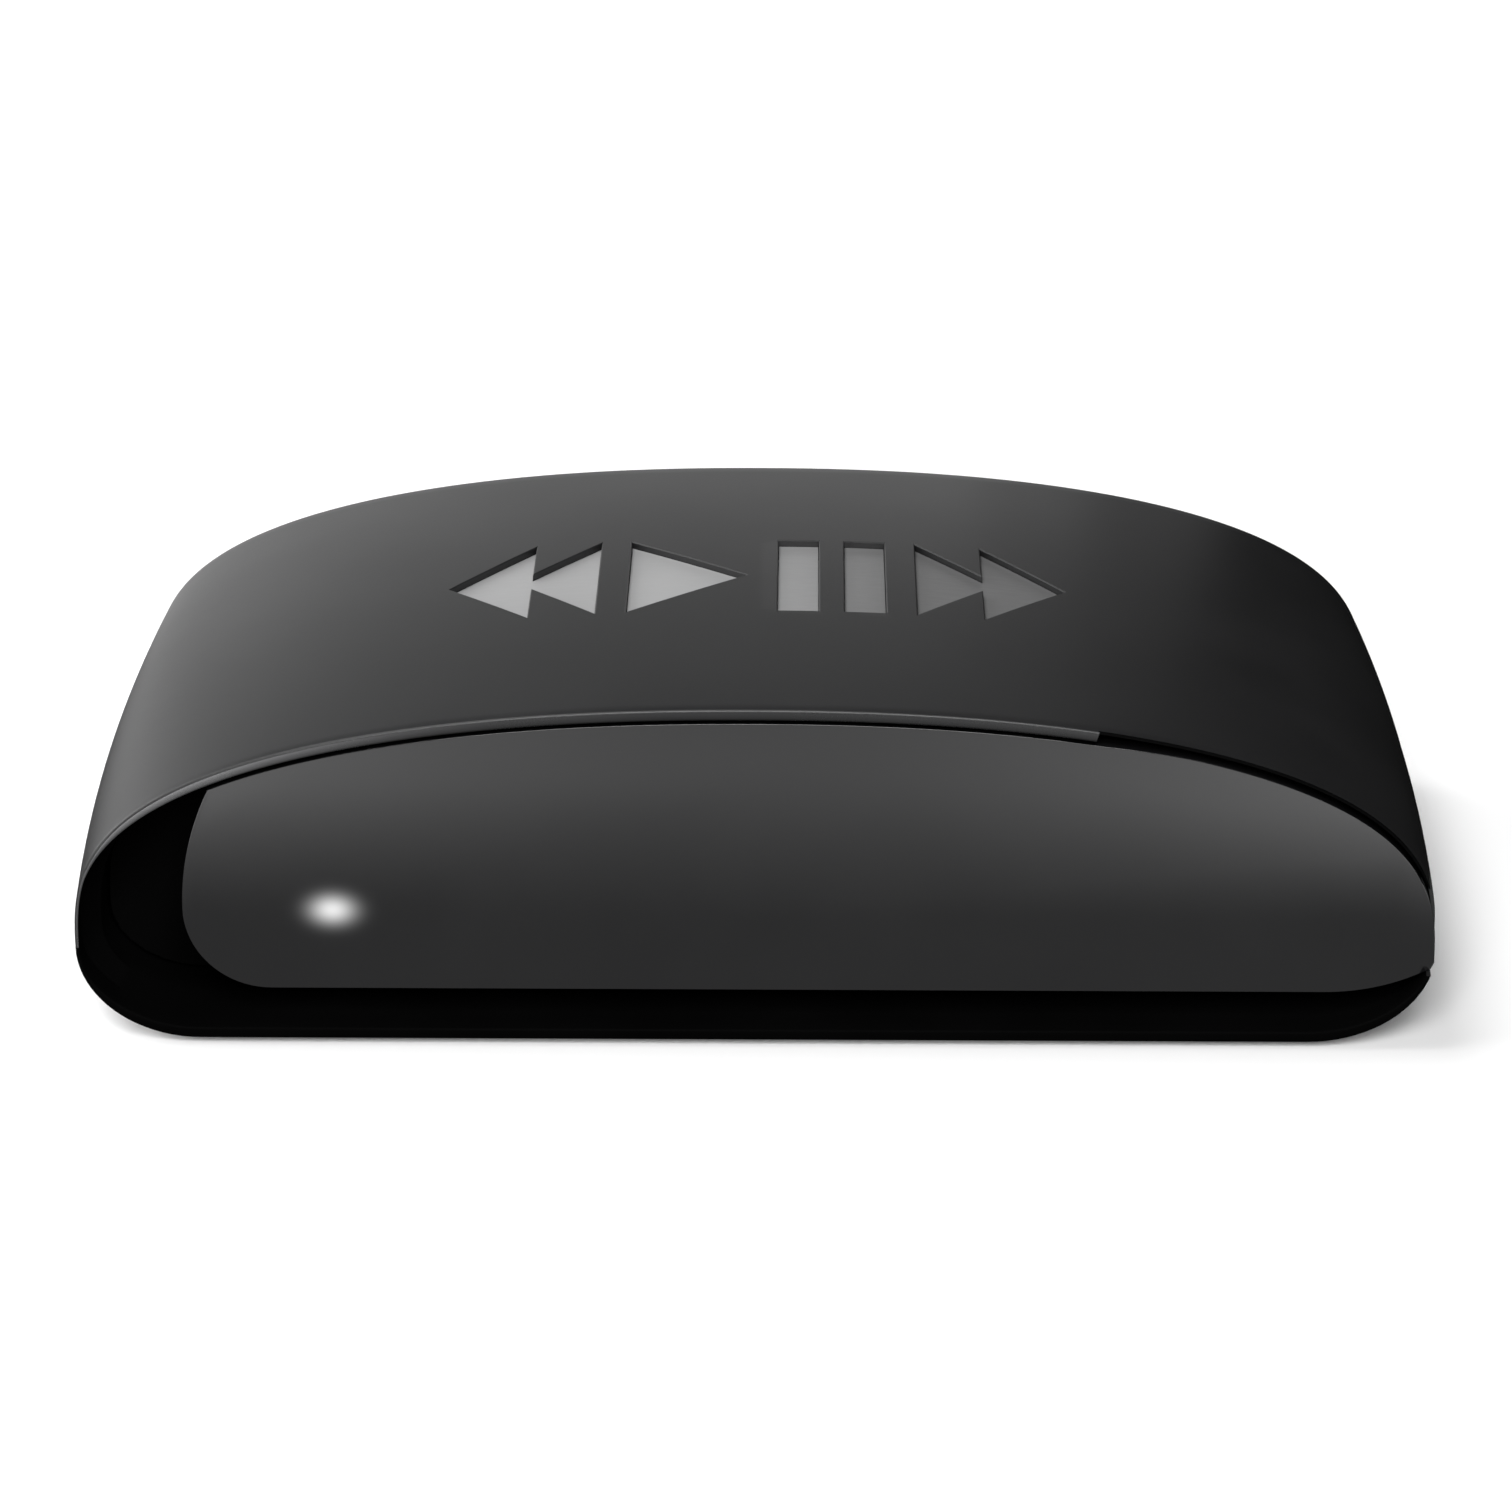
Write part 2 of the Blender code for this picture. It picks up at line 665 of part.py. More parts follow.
def make_inlay(parent):
    inlay = add_part("emblem_inlay", inlay_strip(INLAY_TOP_INSET, INLAY_BOTTOM_INSET), "inlay", parent)
    faces = add_helper("emblem_faces", symbol_prisms(SYMBOL_CLEARANCE), inlay)
    root_inset = (INLAY_TOP_INSET + INLAY_BOTTOM_INSET) / 2
    add_boolean(faces, "INTERSECT", add_helper("emblem_skin", inlay_strip(SYMBOL_SINK, root_inset), inlay))
    add_boolean(inlay, "UNION", faces)


def make_window(parent):
    add_part("front_window", prism_y(raised(window_outline()), WINDOW_FRONT, WINDOW_BACK), "window", parent)


def add_snap_arms(part, root_y, direction):
    """Two arms that leave the part along Y and end in barbs that point down."""
    under = BASE + TRAY_FLOOR + TRAY_THICKNESS + GAP
    over = under + ARM_THICKNESS
    tip = root_y + direction * ARM_LENGTH
    heel = tip - direction * BARB
    barb = [(heel, under), (heel, under - BARB), (tip, under)]
    outline = [(root_y, under), *barb, (tip, over), (root_y, over)]
    for label, x in (("left_arm", -ARM_X), ("right_arm", ARM_X)):
        join(part, label, prism_x(outline, x - ARM_WIDTH / 2, x + ARM_WIDTH / 2))


def make_carrier(parent):
    boss = raised(boss_outline())
    bulkhead = [(x, z) for x, y, z in section_ring(BULKHEAD_FRONT, BULKHEAD_INSET)]
    shape = prism_y(bulkhead, BULKHEAD_FRONT, BULKHEAD_BACK)
    carrier = add_part("window_carrier", shape, "frame", parent)
    join(carrier, "boss", prism_y(boss, WINDOW_BACK + GAP, (BULKHEAD_FRONT + BULKHEAD_BACK) / 2))
    hollow = shrunk(boss, BOSS_WALL)
    cut(carrier, "hollow", prism_y(hollow, WINDOW_BACK, BULKHEAD_FRONT))
    light_hole = rod(LIGHT_PIPE_RADIUS + GAP, BULKHEAD_FRONT - MM, BULKHEAD_BACK + MM, SMALL_ROUND_SIDES, "Y")
    cut(carrier, "light_hole", light_hole, (LIGHT_X, 0.0, LIGHT_Z + BASE))
    width, height = RECEIVER_OPENING
    receiver_low = BASE + BOARD_SURFACE
    opening = block(
        (RECEIVER_X - width / 2, BULKHEAD_FRONT - MM, receiver_low),
        (RECEIVER_X + width / 2, BULKHEAD_BACK + MM, receiver_low + height),
    )
    cut(carrier, "receiver_opening", opening)
    add_snap_arms(carrier, (BULKHEAD_FRONT + BULKHEAD_BACK) / 2, 1)


def make_tray(parent):
    half = TRAY_HALF_WIDTH
    low = BASE + TRAY_FLOOR
    floor_top = low + TRAY_THICKNESS
    wall_top = low + TRAY_WALL_HEIGHT
    inner = half - TRAY_WALL
    profile = [
        (-half, low),
        (half, low),
        (half, wall_top),
        (inner, wall_top),
        (inner, floor_top),
        (-inner, floor_top),
        (-inner, wall_top),
        (-half, wall_top),
    ]
    tray = add_part("inner_tray", prism_y(profile, TRAY_FRONT, TRAY_BACK), "frame", parent)
    standoff_top = BASE + BOARD_UNDERSIDE - GAP
    for number, (x, y) in enumerate(SCREW_PLACES, start=1):
        place = (x, y, 0.0)
        join(tray, f"standoff_{number}", rod(STANDOFF_RADIUS, low + TRAY_THICKNESS / 2, standoff_top), place)
        pilot = rod(SCREW_SHANK_RADIUS + GAP, floor_top, standoff_top + MM, SMALL_ROUND_SIDES)
        cut(tray, f"pilot_{number}", pilot, place)
    catch_depth = BARB + 2 * GAP
    carrier_root = (BULKHEAD_FRONT + BULKHEAD_BACK) / 2
    cover_root = (COVER_FRONT + COVER_FACE) / 2
    for row, tip in (("front", carrier_root + ARM_LENGTH), ("rear", cover_root - ARM_LENGTH)):
        catch_front = tip + GAP - catch_depth if row == "front" else tip - GAP
        for side, x in (("left", -ARM_X), ("right", ARM_X)):
            half_catch = ARM_WIDTH / 2 + GAP
            window = block(
                (x - half_catch, catch_front, low - MM),
                (x + half_catch, catch_front + catch_depth, floor_top + MM),
            )
            cut(tray, f"{row}_{side}_catch", window)


def make_cover(parent):
    outline = [(x, z) for x, y, z in section_ring(COVER_FACE, COVER_INSET)]
    cover = add_part("rear_cover", prism_y(outline, COVER_FRONT, COVER_FACE), "frame", parent)
    near = COVER_FRONT - MM
    far = COVER_FACE + MM
    sockets = (
        ("hdmi_opening", HDMI_X, HDMI_HALF_WIDTH, HDMI_HEIGHT),
        ("usb_opening", USB_X, USB_HALF_WIDTH, USB_HEIGHT),
    )
    floor = BASE + BOARD_SURFACE
    for label, x, half_width, height in sockets:
        reach = half_width + COVER_HOLE_MARGIN
        opening = block(
            (x - reach, near, floor - COVER_HOLE_MARGIN), (x + reach, far, floor + height + COVER_HOLE_MARGIN)
        )
        cut(cover, label, opening)
    hole = rod(BUTTON_RADIUS + GAP, near, far, ROUND_SIDES, "Y")
    cut(cover, "button_hole", hole, (BUTTON_X, 0.0, BUTTON_Z + BASE))
    add_snap_arms(cover, (COVER_FRONT + COVER_FACE) / 2, -1)


# Circuit board and what stands on it

def make_board(parent):
    half = BOARD_HALF_WIDTH
    low = BASE + BOARD_UNDERSIDE
    high = low + BOARD_THICKNESS
    shape = block((-half, BOARD_FRONT, low), (half, BOARD_BACK, high))
    board = add_part("main_board", shape, "board", parent)
    holes = [(place, SCREW_SHANK_RADIUS) for place in SCREW_PLACES]
    holes += [(place, PIN_RADIUS) for place in PIN_PLACES]
    for number, ((x, y), radius) in enumerate(holes, start=1):
        hole = rod(radius + GAP, low - MM, high + MM, SMALL_ROUND_SIDES)
        cut(board, f"hole_{number}", hole, (x, y, 0.0))


def make_board_screws(top):
    profile = [
        (SCREW_SHANK_RADIUS, -SCREW_REACH),
        (SCREW_SHANK_RADIUS, 0.0),
        (SCREW_HEAD_RADIUS, 0.0),
        (SCREW_HEAD_RADIUS, SCREW_HEAD_HEIGHT * SCREW_DOME),
        (SCREW_HEAD_RADIUS * SCREW_DOME, SCREW_HEAD_HEIGHT),
    ]
    width, length, depth = SCREW_SLOT
    for number, (x, y) in enumerate(SCREW_PLACES, start=1):
        shape = turned(profile, SMALL_ROUND_SIDES)
        screw = add_part(f"board_screw_{number}", shape, "steel", top, (x, y, 0.0))
        lower = SCREW_HEAD_HEIGHT - depth
        for label, size in (("slot_x", (length, width)), ("slot_y", (width, length))):
            cut(screw, label, standing_block((*size, 2 * depth)), (0.0, 0.0, lower))


def make_chips(top):
    for name, x, y, size_x, size_y, size_z, finish in BOARD_CHIPS:
        size = (size_x * MM, size_y * MM, size_z * MM)
        add_part(name, standing_block(size), finish, top, (x * MM, y * MM, 0.0))
    profile = [
        (CAPACITOR_RADIUS, 0.0),
        (CAPACITOR_RADIUS, CAPACITOR_HEIGHT - CAPACITOR_ROUNDING),
        (CAPACITOR_RADIUS - CAPACITOR_ROUNDING, CAPACITOR_HEIGHT),
    ]
    for name, x, y in CAPACITORS:
        add_part(name, turned(profile, SMALL_ROUND_SIDES), "aluminium", top, (x * MM, y * MM, 0.0))


def make_shield(top):
    length, width = SHIELD_SIZE
    shape = standing_block((length, width, SHIELD_HEIGHT))
    frame = add_part("shield_frame", shape, "steel", top, (*SHIELD_CENTRE, 0.0))
    inside = standing_block((length - 2 * SHIELD_WALL, width - 2 * SHIELD_WALL, SHIELD_HEIGHT + 2 * MM))
    cut(frame, "inside", inside, (0.0, 0.0, -MM))
    lid = standing_block((length, width, SHIELD_LID_THICKNESS))
    add_part("shield_lid", lid, "steel", top, (*SHIELD_CENTRE, SHIELD_HEIGHT + GAP))


def make_heat_spreader(top):
    pad_low = SOC_HEIGHT + GAP
    add_part("thermal_pad", standing_block(PAD_SIZE), "gap_pad", top, (*SOC_CENTRE, pad_low))
    low = pad_low + PAD_SIZE[2] + GAP
    plate_top = low + SPREADER_PLATE
    fin_top = plate_top + FIN_HEIGHT
    (left, right), (front, back) = SPREADER_X, SPREADER_Y
    pitch = (right - left - FIN_THICKNESS) / (FIN_COUNT - 1)
    outline = [(left, low), (right, low)]
    for number in reversed(range(FIN_COUNT)):
        fin_left = left + pitch * number
        fin_right = fin_left + FIN_THICKNESS
        outline += [(fin_right, plate_top), (fin_right, fin_top), (fin_left, fin_top), (fin_left, plate_top)]
    outline = [point for index, point in enumerate(outline) if point != outline[index - 1]]
    spreader = add_part("heat_spreader", prism_y(outline, front, back), "aluminium", top)
    pin_profile = [
        (PIN_RADIUS, 0.0),
        (PIN_RADIUS, plate_top + GAP + BOARD_THICKNESS + GAP),
        (PIN_HEAD_RADIUS, plate_top + GAP + BOARD_THICKNESS + GAP),
        (PIN_HEAD_RADIUS, plate_top + GAP + BOARD_THICKNESS + GAP + PIN_HEAD_HEIGHT),
    ]
    for number, (x, y) in enumerate(PIN_PLACES, start=1):
        pocket = standing_block((PIN_POCKET, PIN_POCKET, FIN_HEIGHT + MM))
        cut(spreader, f"pin_pocket_{number}", pocket, (x, y, plate_top - PIN_POCKET_SINK))
        hole = rod(PIN_RADIUS + GAP, 0.0, fin_top, SMALL_ROUND_SIDES)
        cut(spreader, f"pin_hole_{number}", hole, (x, y, 0.0))
        pin = turned(pin_profile, SMALL_ROUND_SIDES)
        add_part(f"spreader_pin_{number}", pin, "contact_block", top, (x, y, -BOARD_THICKNESS - GAP))


def make_antennas(top):
    front, back = ANTENNA_Y
    slot_height, slot_length = ANTENNA_SLOT
    for name, side in (("antenna_left", -1), ("antenna_right", 1)):
        outer = side * ANTENNA_THICKNESS
        outline = [
            (0.0, 0.0),
            (outer, 0.0),
            (outer, ANTENNA_HEIGHT),
            (-side * ANTENNA_FLANGE, ANTENNA_HEIGHT),
            (-side * ANTENNA_FLANGE, ANTENNA_HEIGHT - ANTENNA_THICKNESS),
            (0.0, ANTENNA_HEIGHT - ANTENNA_THICKNESS),
        ]
        antenna = add_part(name, prism_y(outline, front, back), "steel", top, (side * ANTENNA_X, 0.0, 0.0))
        slot_front = back - slot_length
        slot = block((-MM, slot_front, -MM), (MM, back + MM, slot_height))
        cut(antenna, "slot", slot)


def make_light_and_receiver(top, parent):
    x, y, z = LED_SIZE
    add_part("status_led", standing_block(LED_SIZE), "led", top, (LIGHT_X, LED_FACE + y / 2, 0.0))
    pipe_end = LED_FACE - GAP
    pipe = rod(LIGHT_PIPE_RADIUS, WINDOW_BACK + GAP, pipe_end, SMALL_ROUND_SIDES, "Y")
    add_part("light_pipe", pipe, "clear_plastic", parent, (LIGHT_X, 0.0, LIGHT_Z + BASE))
    depth, height = RECEIVER_SIZE[1:]
    place = (RECEIVER_X, RECEIVER_FACE + depth / 2, 0.0)
    receiver = add_part("infrared_receiver", standing_block(RECEIVER_SIZE), "chip", top, place)
    lens_profile = []
    for angle in map(math.radians, RECEIVER_LENS_DEGREES):
        bulge = RECEIVER_LENS_RADIUS * math.sin(angle) / 2
        lens_profile.append((RECEIVER_LENS_RADIUS * math.cos(angle), bulge - depth / 2))
    lens_profile.append((RECEIVER_LENS_RADIUS, 0.0))
    lens = turned(lens_profile, SMALL_ROUND_SIDES, "Y")
    join(receiver, "lens", lens, (0.0, 0.0, height / 2))


# Sockets

def socket_outline(half_width, height, floor_half_width, chamfer_low, chamfer_high):
    """Anticlockwise socket shape that narrows towards its floor, which is at z = 0."""
    return [
        (-floor_half_width, 0.0),
        (floor_half_width, 0.0),
        (floor_half_width, chamfer_low),
        (half_width, chamfer_high),
        (half_width, height),
        (-half_width, height),
        (-half_width, chamfer_high),
        (-floor_half_width, chamfer_low),
    ]


def make_socket(name, outline, wall, front, x, top):
    shell = add_part(f"{name}_shell", prism_y(outline, front, SOCKET_MOUTH), "steel", top, (x, 0.0, 0.0))
    cut(shell, "inside", prism_y(shrunk(outline, wall), front + wall, SOCKET_MOUTH + MM))


def make_tongue(name, half_width, block_z, blade_z, ys, x, top):
    """Contact carrier: a block against the shell's back with a thin blade towards the mouth."""
    back, block_front, tip = ys
    low, high = block_z
    blade_low, blade_high = blade_z
    outline = [
        (back, low),
        (block_front, low),
        (block_front, blade_low),
        (tip, blade_low),
        (tip, blade_high),
        (block_front, blade_high),
        (block_front, high),
        (back, high),
    ]
    add_part(f"{name}_tongue", prism_x(outline, -half_width, half_width), "contact_block", top, (x, 0.0, 0.0))


def make_hdmi(top):
    outline = socket_outline(
        HDMI_HALF_WIDTH, HDMI_HEIGHT, HDMI_FLOOR_HALF_WIDTH, HDMI_CHAMFER_LOW, HDMI_CHAMFER_HIGH
    )
    make_socket("hdmi", outline, HDMI_WALL, HDMI_FRONT, HDMI_X, top)
    back = HDMI_FRONT + HDMI_WALL + GAP
    inner_floor = HDMI_WALL + GAP
    make_tongue(
        "hdmi",
        HDMI_TONGUE_HALF_WIDTH,
        (inner_floor, HDMI_HEIGHT - inner_floor),
        (HDMI_TONGUE_LOW, HDMI_TONGUE_LOW + HDMI_TONGUE_THICKNESS),
        (back, back + HDMI_BLOCK_DEPTH, SOCKET_MOUTH - HDMI_TONGUE_SETBACK),
        HDMI_X,
        top,
    )


def make_usb(top):
    outline = socket_outline(
        USB_HALF_WIDTH, USB_HEIGHT, USB_FLOOR_HALF_WIDTH, USB_CHAMFER_LOW, USB_CHAMFER_HIGH
    )
    make_socket("usb", outline, USB_WALL, USB_FRONT, USB_X, top)
    back = USB_FRONT + USB_WALL + GAP
    inner_floor = USB_WALL + GAP
    make_tongue(
        "usb",
        USB_TONGUE_HALF_WIDTH,
        (inner_floor, USB_HEIGHT - inner_floor),
        (USB_TONGUE_LOW, USB_TONGUE_LOW + USB_TONGUE_THICKNESS),
        (back, back + USB_BLOCK_DEPTH, SOCKET_MOUTH - USB_TONGUE_SETBACK),
        USB_X,
        top,
    )


# Reset button: its origin and the plunger's lie on the line along which both slide

def make_reset_button(top, parent):
    flange_back = COVER_FRONT - GAP
    flange_front = flange_back - FLANGE_THICKNESS
    stem_front = flange_front - STEM_LENGTH
    face = COVER_FACE + BUTTON_PROUD
    profile = [
        (STEM_RADIUS, stem_front),
        (STEM_RADIUS, flange_front),
        (FLANGE_RADIUS, flange_front),
        (FLANGE_RADIUS, flange_back),
        (BUTTON_RADIUS, flange_back),
        (BUTTON_RADIUS, face - BUTTON_ROUNDING),
        (BUTTON_RADIUS - BUTTON_ROUNDING, face),
    ]
    along_axis = [(radius, y - flange_back) for radius, y in profile]
    axis_z = BUTTON_Z + BASE
    button = turned(along_axis, ROUND_SIDES, "Y")
    add_part("reset_button", button, "button", parent, (BUTTON_X, flange_back, axis_z))

    plunger_back = stem_front - GAP
    switch_back = plunger_back - PLUNGER_REACH
    plunger = rod(PLUNGER_RADIUS, -PLUNGER_DEPTH, PLUNGER_REACH, SMALL_ROUND_SIDES, "Y")
    add_part("switch_plunger", plunger, "button", parent, (BUTTON_X, switch_back, axis_z))

    size_y = SWITCH_SIZE[1]
    place = (BUTTON_X, switch_back - size_y / 2, 0.0)
    switch = add_part("switch_base", standing_block(SWITCH_SIZE), "chip", top, place)
    bore_depth = PLUNGER_DEPTH + BUTTON_TRAVEL + GAP
    bore = rod(PLUNGER_RADIUS + GAP, size_y / 2 - bore_depth, size_y / 2 + MM, SMALL_ROUND_SIDES, "Y")
    cut(switch, "bore", bore, (0.0, 0.0, BUTTON_Z - BOARD_SURFACE))


clear_scene()
MATERIALS = make_materials()
player = add_empty("player")
board_surface = add_empty("board_surface", (0.0, 0.0, BASE + BOARD_SURFACE), player)
make_sleeve(player)
make_feet_and_label(player)
make_inlay(player)
make_window(player)
make_carrier(player)
make_tray(player)
make_cover(player)
make_board(player)
make_board_screws(board_surface)
make_chips(board_surface)
make_shield(board_surface)
make_heat_spreader(board_surface)
make_antennas(board_surface)
make_light_and_receiver(board_surface, player)
make_hdmi(board_surface)
make_usb(board_surface)
make_reset_button(board_surface, player)
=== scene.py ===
"""Looks of the streaming media player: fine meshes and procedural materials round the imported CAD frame."""

import math

import bmesh
import bpy
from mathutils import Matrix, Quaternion, Vector


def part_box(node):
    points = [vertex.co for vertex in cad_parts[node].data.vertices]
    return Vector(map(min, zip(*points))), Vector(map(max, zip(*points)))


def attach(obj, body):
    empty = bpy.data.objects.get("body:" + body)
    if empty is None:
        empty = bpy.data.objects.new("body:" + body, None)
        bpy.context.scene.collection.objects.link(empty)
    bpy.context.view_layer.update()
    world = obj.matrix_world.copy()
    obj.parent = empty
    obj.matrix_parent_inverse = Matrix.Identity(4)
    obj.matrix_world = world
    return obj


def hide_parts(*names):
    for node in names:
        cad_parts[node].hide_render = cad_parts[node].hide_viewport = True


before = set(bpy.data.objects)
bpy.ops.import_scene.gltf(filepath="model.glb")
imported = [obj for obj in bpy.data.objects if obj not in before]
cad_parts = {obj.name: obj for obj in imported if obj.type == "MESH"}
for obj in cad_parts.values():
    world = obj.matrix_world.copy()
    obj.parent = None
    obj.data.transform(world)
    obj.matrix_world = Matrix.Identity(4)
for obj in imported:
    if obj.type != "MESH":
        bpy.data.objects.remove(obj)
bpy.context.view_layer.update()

MM = 0.001

# The sleeve's cross-section: an arch over a flat base, sized from the frame
SLEEVE_LOW, SLEEVE_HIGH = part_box("outer_sleeve")
SIDE_SWELL = 0.0202
DEPTH = SLEEVE_HIGH.y - SLEEVE_LOW.y
RIM_WIDTH = (SLEEVE_HIGH.x - SLEEVE_LOW.x) / (1 + SIDE_SWELL)
HEIGHT = SLEEVE_HIGH.z - SLEEVE_LOW.z
BASE = SLEEVE_LOW.z
FRONT = SLEEVE_LOW.y
REAR = SLEEVE_HIGH.y
WAIST = 5.26 * MM
ARCH_POWER_X = 2.19
ARCH_POWER_Z = 2.85
WAIST_CROWDING = 1.4
CORNER_RUN = 6.47 * MM
RIGHT_FULLNESS = 0.28 * MM
FULLNESS_BOTTOM = 7.0 * MM
FULLNESS_TOP = 17.0 * MM
WALL = 1.2 * MM
GAP = 0.3 * MM
ARCH_STEPS = 72
CORNER_STEPS = 20
BASE_STEPS = 40
SLEEVE_STATIONS = 44

# Rims of the sleeve: lip thickness, lip depth and ramp depth
FRONT_LIP = 0.62 * MM
FRONT_LIP_LEAST = 0.2 * MM
FRONT_LIP_DEPTH = 2.2 * MM
FRONT_RAMP_DEPTH = 3.4 * MM
REAR_LIP = 0.8 * MM
REAR_LIP_DEPTH = 2.5 * MM
REAR_RAMP_DEPTH = 3.1 * MM
RIM_ROUNDING = 0.13 * MM
RIM_ROUNDING_SHARE = 0.4  # most of a thin lip that the rounding takes
RIM_STEPS = 4
OUTSIDE, RIM, PAINTED_SHADE = range(3)  # the sleeve's finishes; the last is painted shade: near black on the inside, the lower lip and the right end of the front rim
MERGE = 0.001 * MM
BEVEL_START = 18.1 * MM  # right of here the front rim's inner edge is cut back
BEVEL_DEPTH = 1.3 * MM
SPLIT = 0.0004  # share of a turn between the two cross-section points at the bevel's end

# Window
WINDOW_DROP = 1.0 * MM
WINDOW_LIFT = 0.2 * MM  # the drop is less right of the bevel's start
WINDOW_LIFT_RUN = 5.0 * MM
WINDOW_TIP = 4.1 * MM  # height of the window's lower right end over the sleeve's base
WINDOW_CORNER = 4.6 * MM
WINDOW_RIGHT_TURN = 30.5 * MM
LEFT_EDGE_RADIUS = 14.75 * MM
LEFT_EDGE_STEPS = 14
WINDOW_ROUNDING = 0.06 * MM
CROSSING_PRECISION = 1e-9  # of the turn where the window's top and left edges meet
NOTCH_LOW = 3.95 * MM
NOTCH_HIGH = 9.0 * MM
NOTCH_INNER = 33.0 * MM
# Painted glow of the status LED, as emission in the window: its spread across and up, and its strength
PAINTED_LED_GLOW_X = 1.03 * MM
PAINTED_LED_GLOW_Z = 0.73 * MM
PAINTED_LED_GLOW_STRENGTH = 0.82

# Rear cover, sockets and reset button
COVER_FRONT_ROUNDING = 0.05 * MM
COVER_BACK_ROUNDING = 0.2 * MM
OPENING_CORNER = 0.5 * MM
OPENING_CHAMFER = 0.25 * MM
CUTTER_REACH = 0.5 * MM  # how far a flared cutter stands out of the face it opens
HDMI_SHELL = (6.0 * MM, (0.9 * MM, 2.2 * MM), 0.4 * MM, 0.35 * MM)  # floor, chamfers, wall, rounding
USB_SHELL = (3.0 * MM, (0.4 * MM, 1.2 * MM), 0.3 * MM, 0.3 * MM)
HDMI_BLADE = (1.5 * MM, 2.65 * MM)
HDMI_BLOCK_DEPTH = 1.6 * MM
USB_BLADE = (0.85 * MM, 1.35 * MM)
USB_BLOCK_DEPTH = 0.9 * MM
TONGUE_ROUNDING = 0.12 * MM
CONTACT_SINK = 0.05 * MM
CONTACT_PROUD = 0.04 * MM
CAP_RADIUS = 1.5 * MM
CAP_ROUNDING = 0.25 * MM
CAP_DISH = 0.08 * MM
STEM_RADIUS = 0.9 * MM
BUTTON_CHAMFER = 0.2 * MM
SOFT_STEPS = 6
ROUND_SIDES = 64

# Feet and label
FOOT_ROUNDING = 0.18 * MM
FOOT_GROOVE = 0.1 * MM
FOOT_SINK = 0.1 * MM  # how far a foot's top goes past its recess
FOOT_GROOVE_SHARE = 0.72  # of the foot's radius, where the groove's outer side is
FOOT_SIDES = 72
LABEL_CORNER = 0.9 * MM
LABEL_EDGE = 0.02 * MM
NODE_BEVEL = 0.12 * MM

# Lamps: name, place, aim, size and watts
LAMPS = (
    ("left_front", (-0.25, -0.06, 0.1), (0.0, 0.0, 0.01), (0.12, 0.18), 0.25),
    ("left_back", (-0.23, 0.12, 0.1), (0.0, 0.0, 0.01), (0.12, 0.18), 0.35),
    ("front", (0.0, -0.26, 0.2), (0.0, 0.0, 0.0), (0.15, 0.15), 1.2),
)
KEY_DIRECTION = (-0.4, 0.12, 1.0)
KEY_STRENGTH = 1.5
KEY_SPREAD = 30.0

# Long light behind the player, in pieces that fade to the right: place, width and watts
BACK_STRIP = ((-0.06, 0.03, 0.0024), (-0.015, 0.06, 0.0066), (0.018, 0.01, 0.0007), (0.028, 0.01, 0.0003))
STRIP_Y = 0.042
STRIP_Z = 0.018
STRIP_AIM_Z = 0.016
STRIP_HEIGHT = 0.03

# Floor and wall
STAGE_REACH = 1.6
WALL_RADIUS = 1.9 * STAGE_REACH
FLOOR_DROP = 0.01 * MM
GLOW_START = 0.06
GLOW_END = 0.16

# Card in front of the player: height, lengths and glow
CARD_HEIGHT = 1.6 * MM
CARD_SIDE = 0.12
CARD_REACH = 0.25
CARD_START = 0.2 * MM
CARD_NEAR = 12.0 * MM
CARD_FAR = 51.0 * MM
CARD_NEAR_GLOW = 0.46
CARD_FAR_GLOW = 1.42
CARD_SPREAD = 36.0 * MM

# Camera
ELEVATION = 22.136
YAW = 0.597
PITCH = 0.175
DISTANCE = 294.46 * MM
LENS = 124.74
SENSOR = 36.0

SHARP_ANGLE = 32.0  # an edge that turns more, in degrees, is drawn sharp

# Sunk symbols
SYMBOL_Y = 1.1 * MM
SYMBOL_HEIGHT = 11.2 * MM
ARROW_WIDTH = 4.6 * MM
ARROW_STEP = 3.7 * MM
PLAY_WIDTH = 6.6 * MM
BAR_WIDTH = 2.3 * MM
BAR_GAP = 1.4 * MM
REWIND_X = -17.1 * MM
PLAY_X = -7.1 * MM
PAUSE_X = 1.2 * MM
FORWARD_X = 8.9 * MM
REWIND_TIP = -REWIND_X - ARROW_STEP - ARROW_WIDTH  # where the mirrored double arrow starts
SYMBOL_CLEARANCE = 0.04 * MM
SYMBOL_SINK = 0.38 * MM
SYMBOL_EDGE = 0.06 * MM  # width of the small chamfer round each symbol
OUTLINE_STEP = 0.5 * MM
SYMBOL_PAINTED_REFLECTION_START = -2.0 * MM  # painted reflection: the symbol faces darken between these places, so their left looks lit by a lamp's reflection and their right shaded
SYMBOL_PAINTED_REFLECTION_END = 9.0 * MM
SYMBOL_PAINTED_REFLECTION_DARK = 0.38
RIM_PAINTED_HIGHLIGHT_START = -44.0 * MM  # painted highlight: the rim's colour, which sets its reflectance, falls between these places, so its far left shines
RIM_PAINTED_HIGHLIGHT_END = -12.0 * MM
RIM_PAINTED_HIGHLIGHT_DARK = 0.22
INLAY_STEPS = 32


# Cross-section

def swell(y):
    """Width of the sleeve at depth y, as a share of the rim's width."""
    return 1 + SIDE_SWELL * (1 - (2 * y / DEPTH) ** 2)


def arch_with_normal(turn):
    """Point and outward normal of the arch: turn is 0 at the right waist, 1 at the crown, 2 at the left."""
    side = 1 if turn <= 1 else -1
    angle = math.pi / 2 * min(turn, 2 - turn) ** WAIST_CROWDING
    across = math.cos(angle) ** (2 / ARCH_POWER_X)
    up = math.sin(angle) ** (2 / ARCH_POWER_Z)
    half_width = RIM_WIDTH / 2
    rise = HEIGHT - WAIST
    normal = Vector((
        side * ARCH_POWER_X * across ** (ARCH_POWER_X - 1) / half_width,
        ARCH_POWER_Z * up ** (ARCH_POWER_Z - 1) / rise,
    ))
    return Vector((side * half_width * across, WAIST + rise * up)), normal.normalized()


def arch(turn, inset=0.0, drop=0.0):
    point, normal = arch_with_normal(turn)
    moved = point - normal * inset
    return moved.x, moved.y - drop


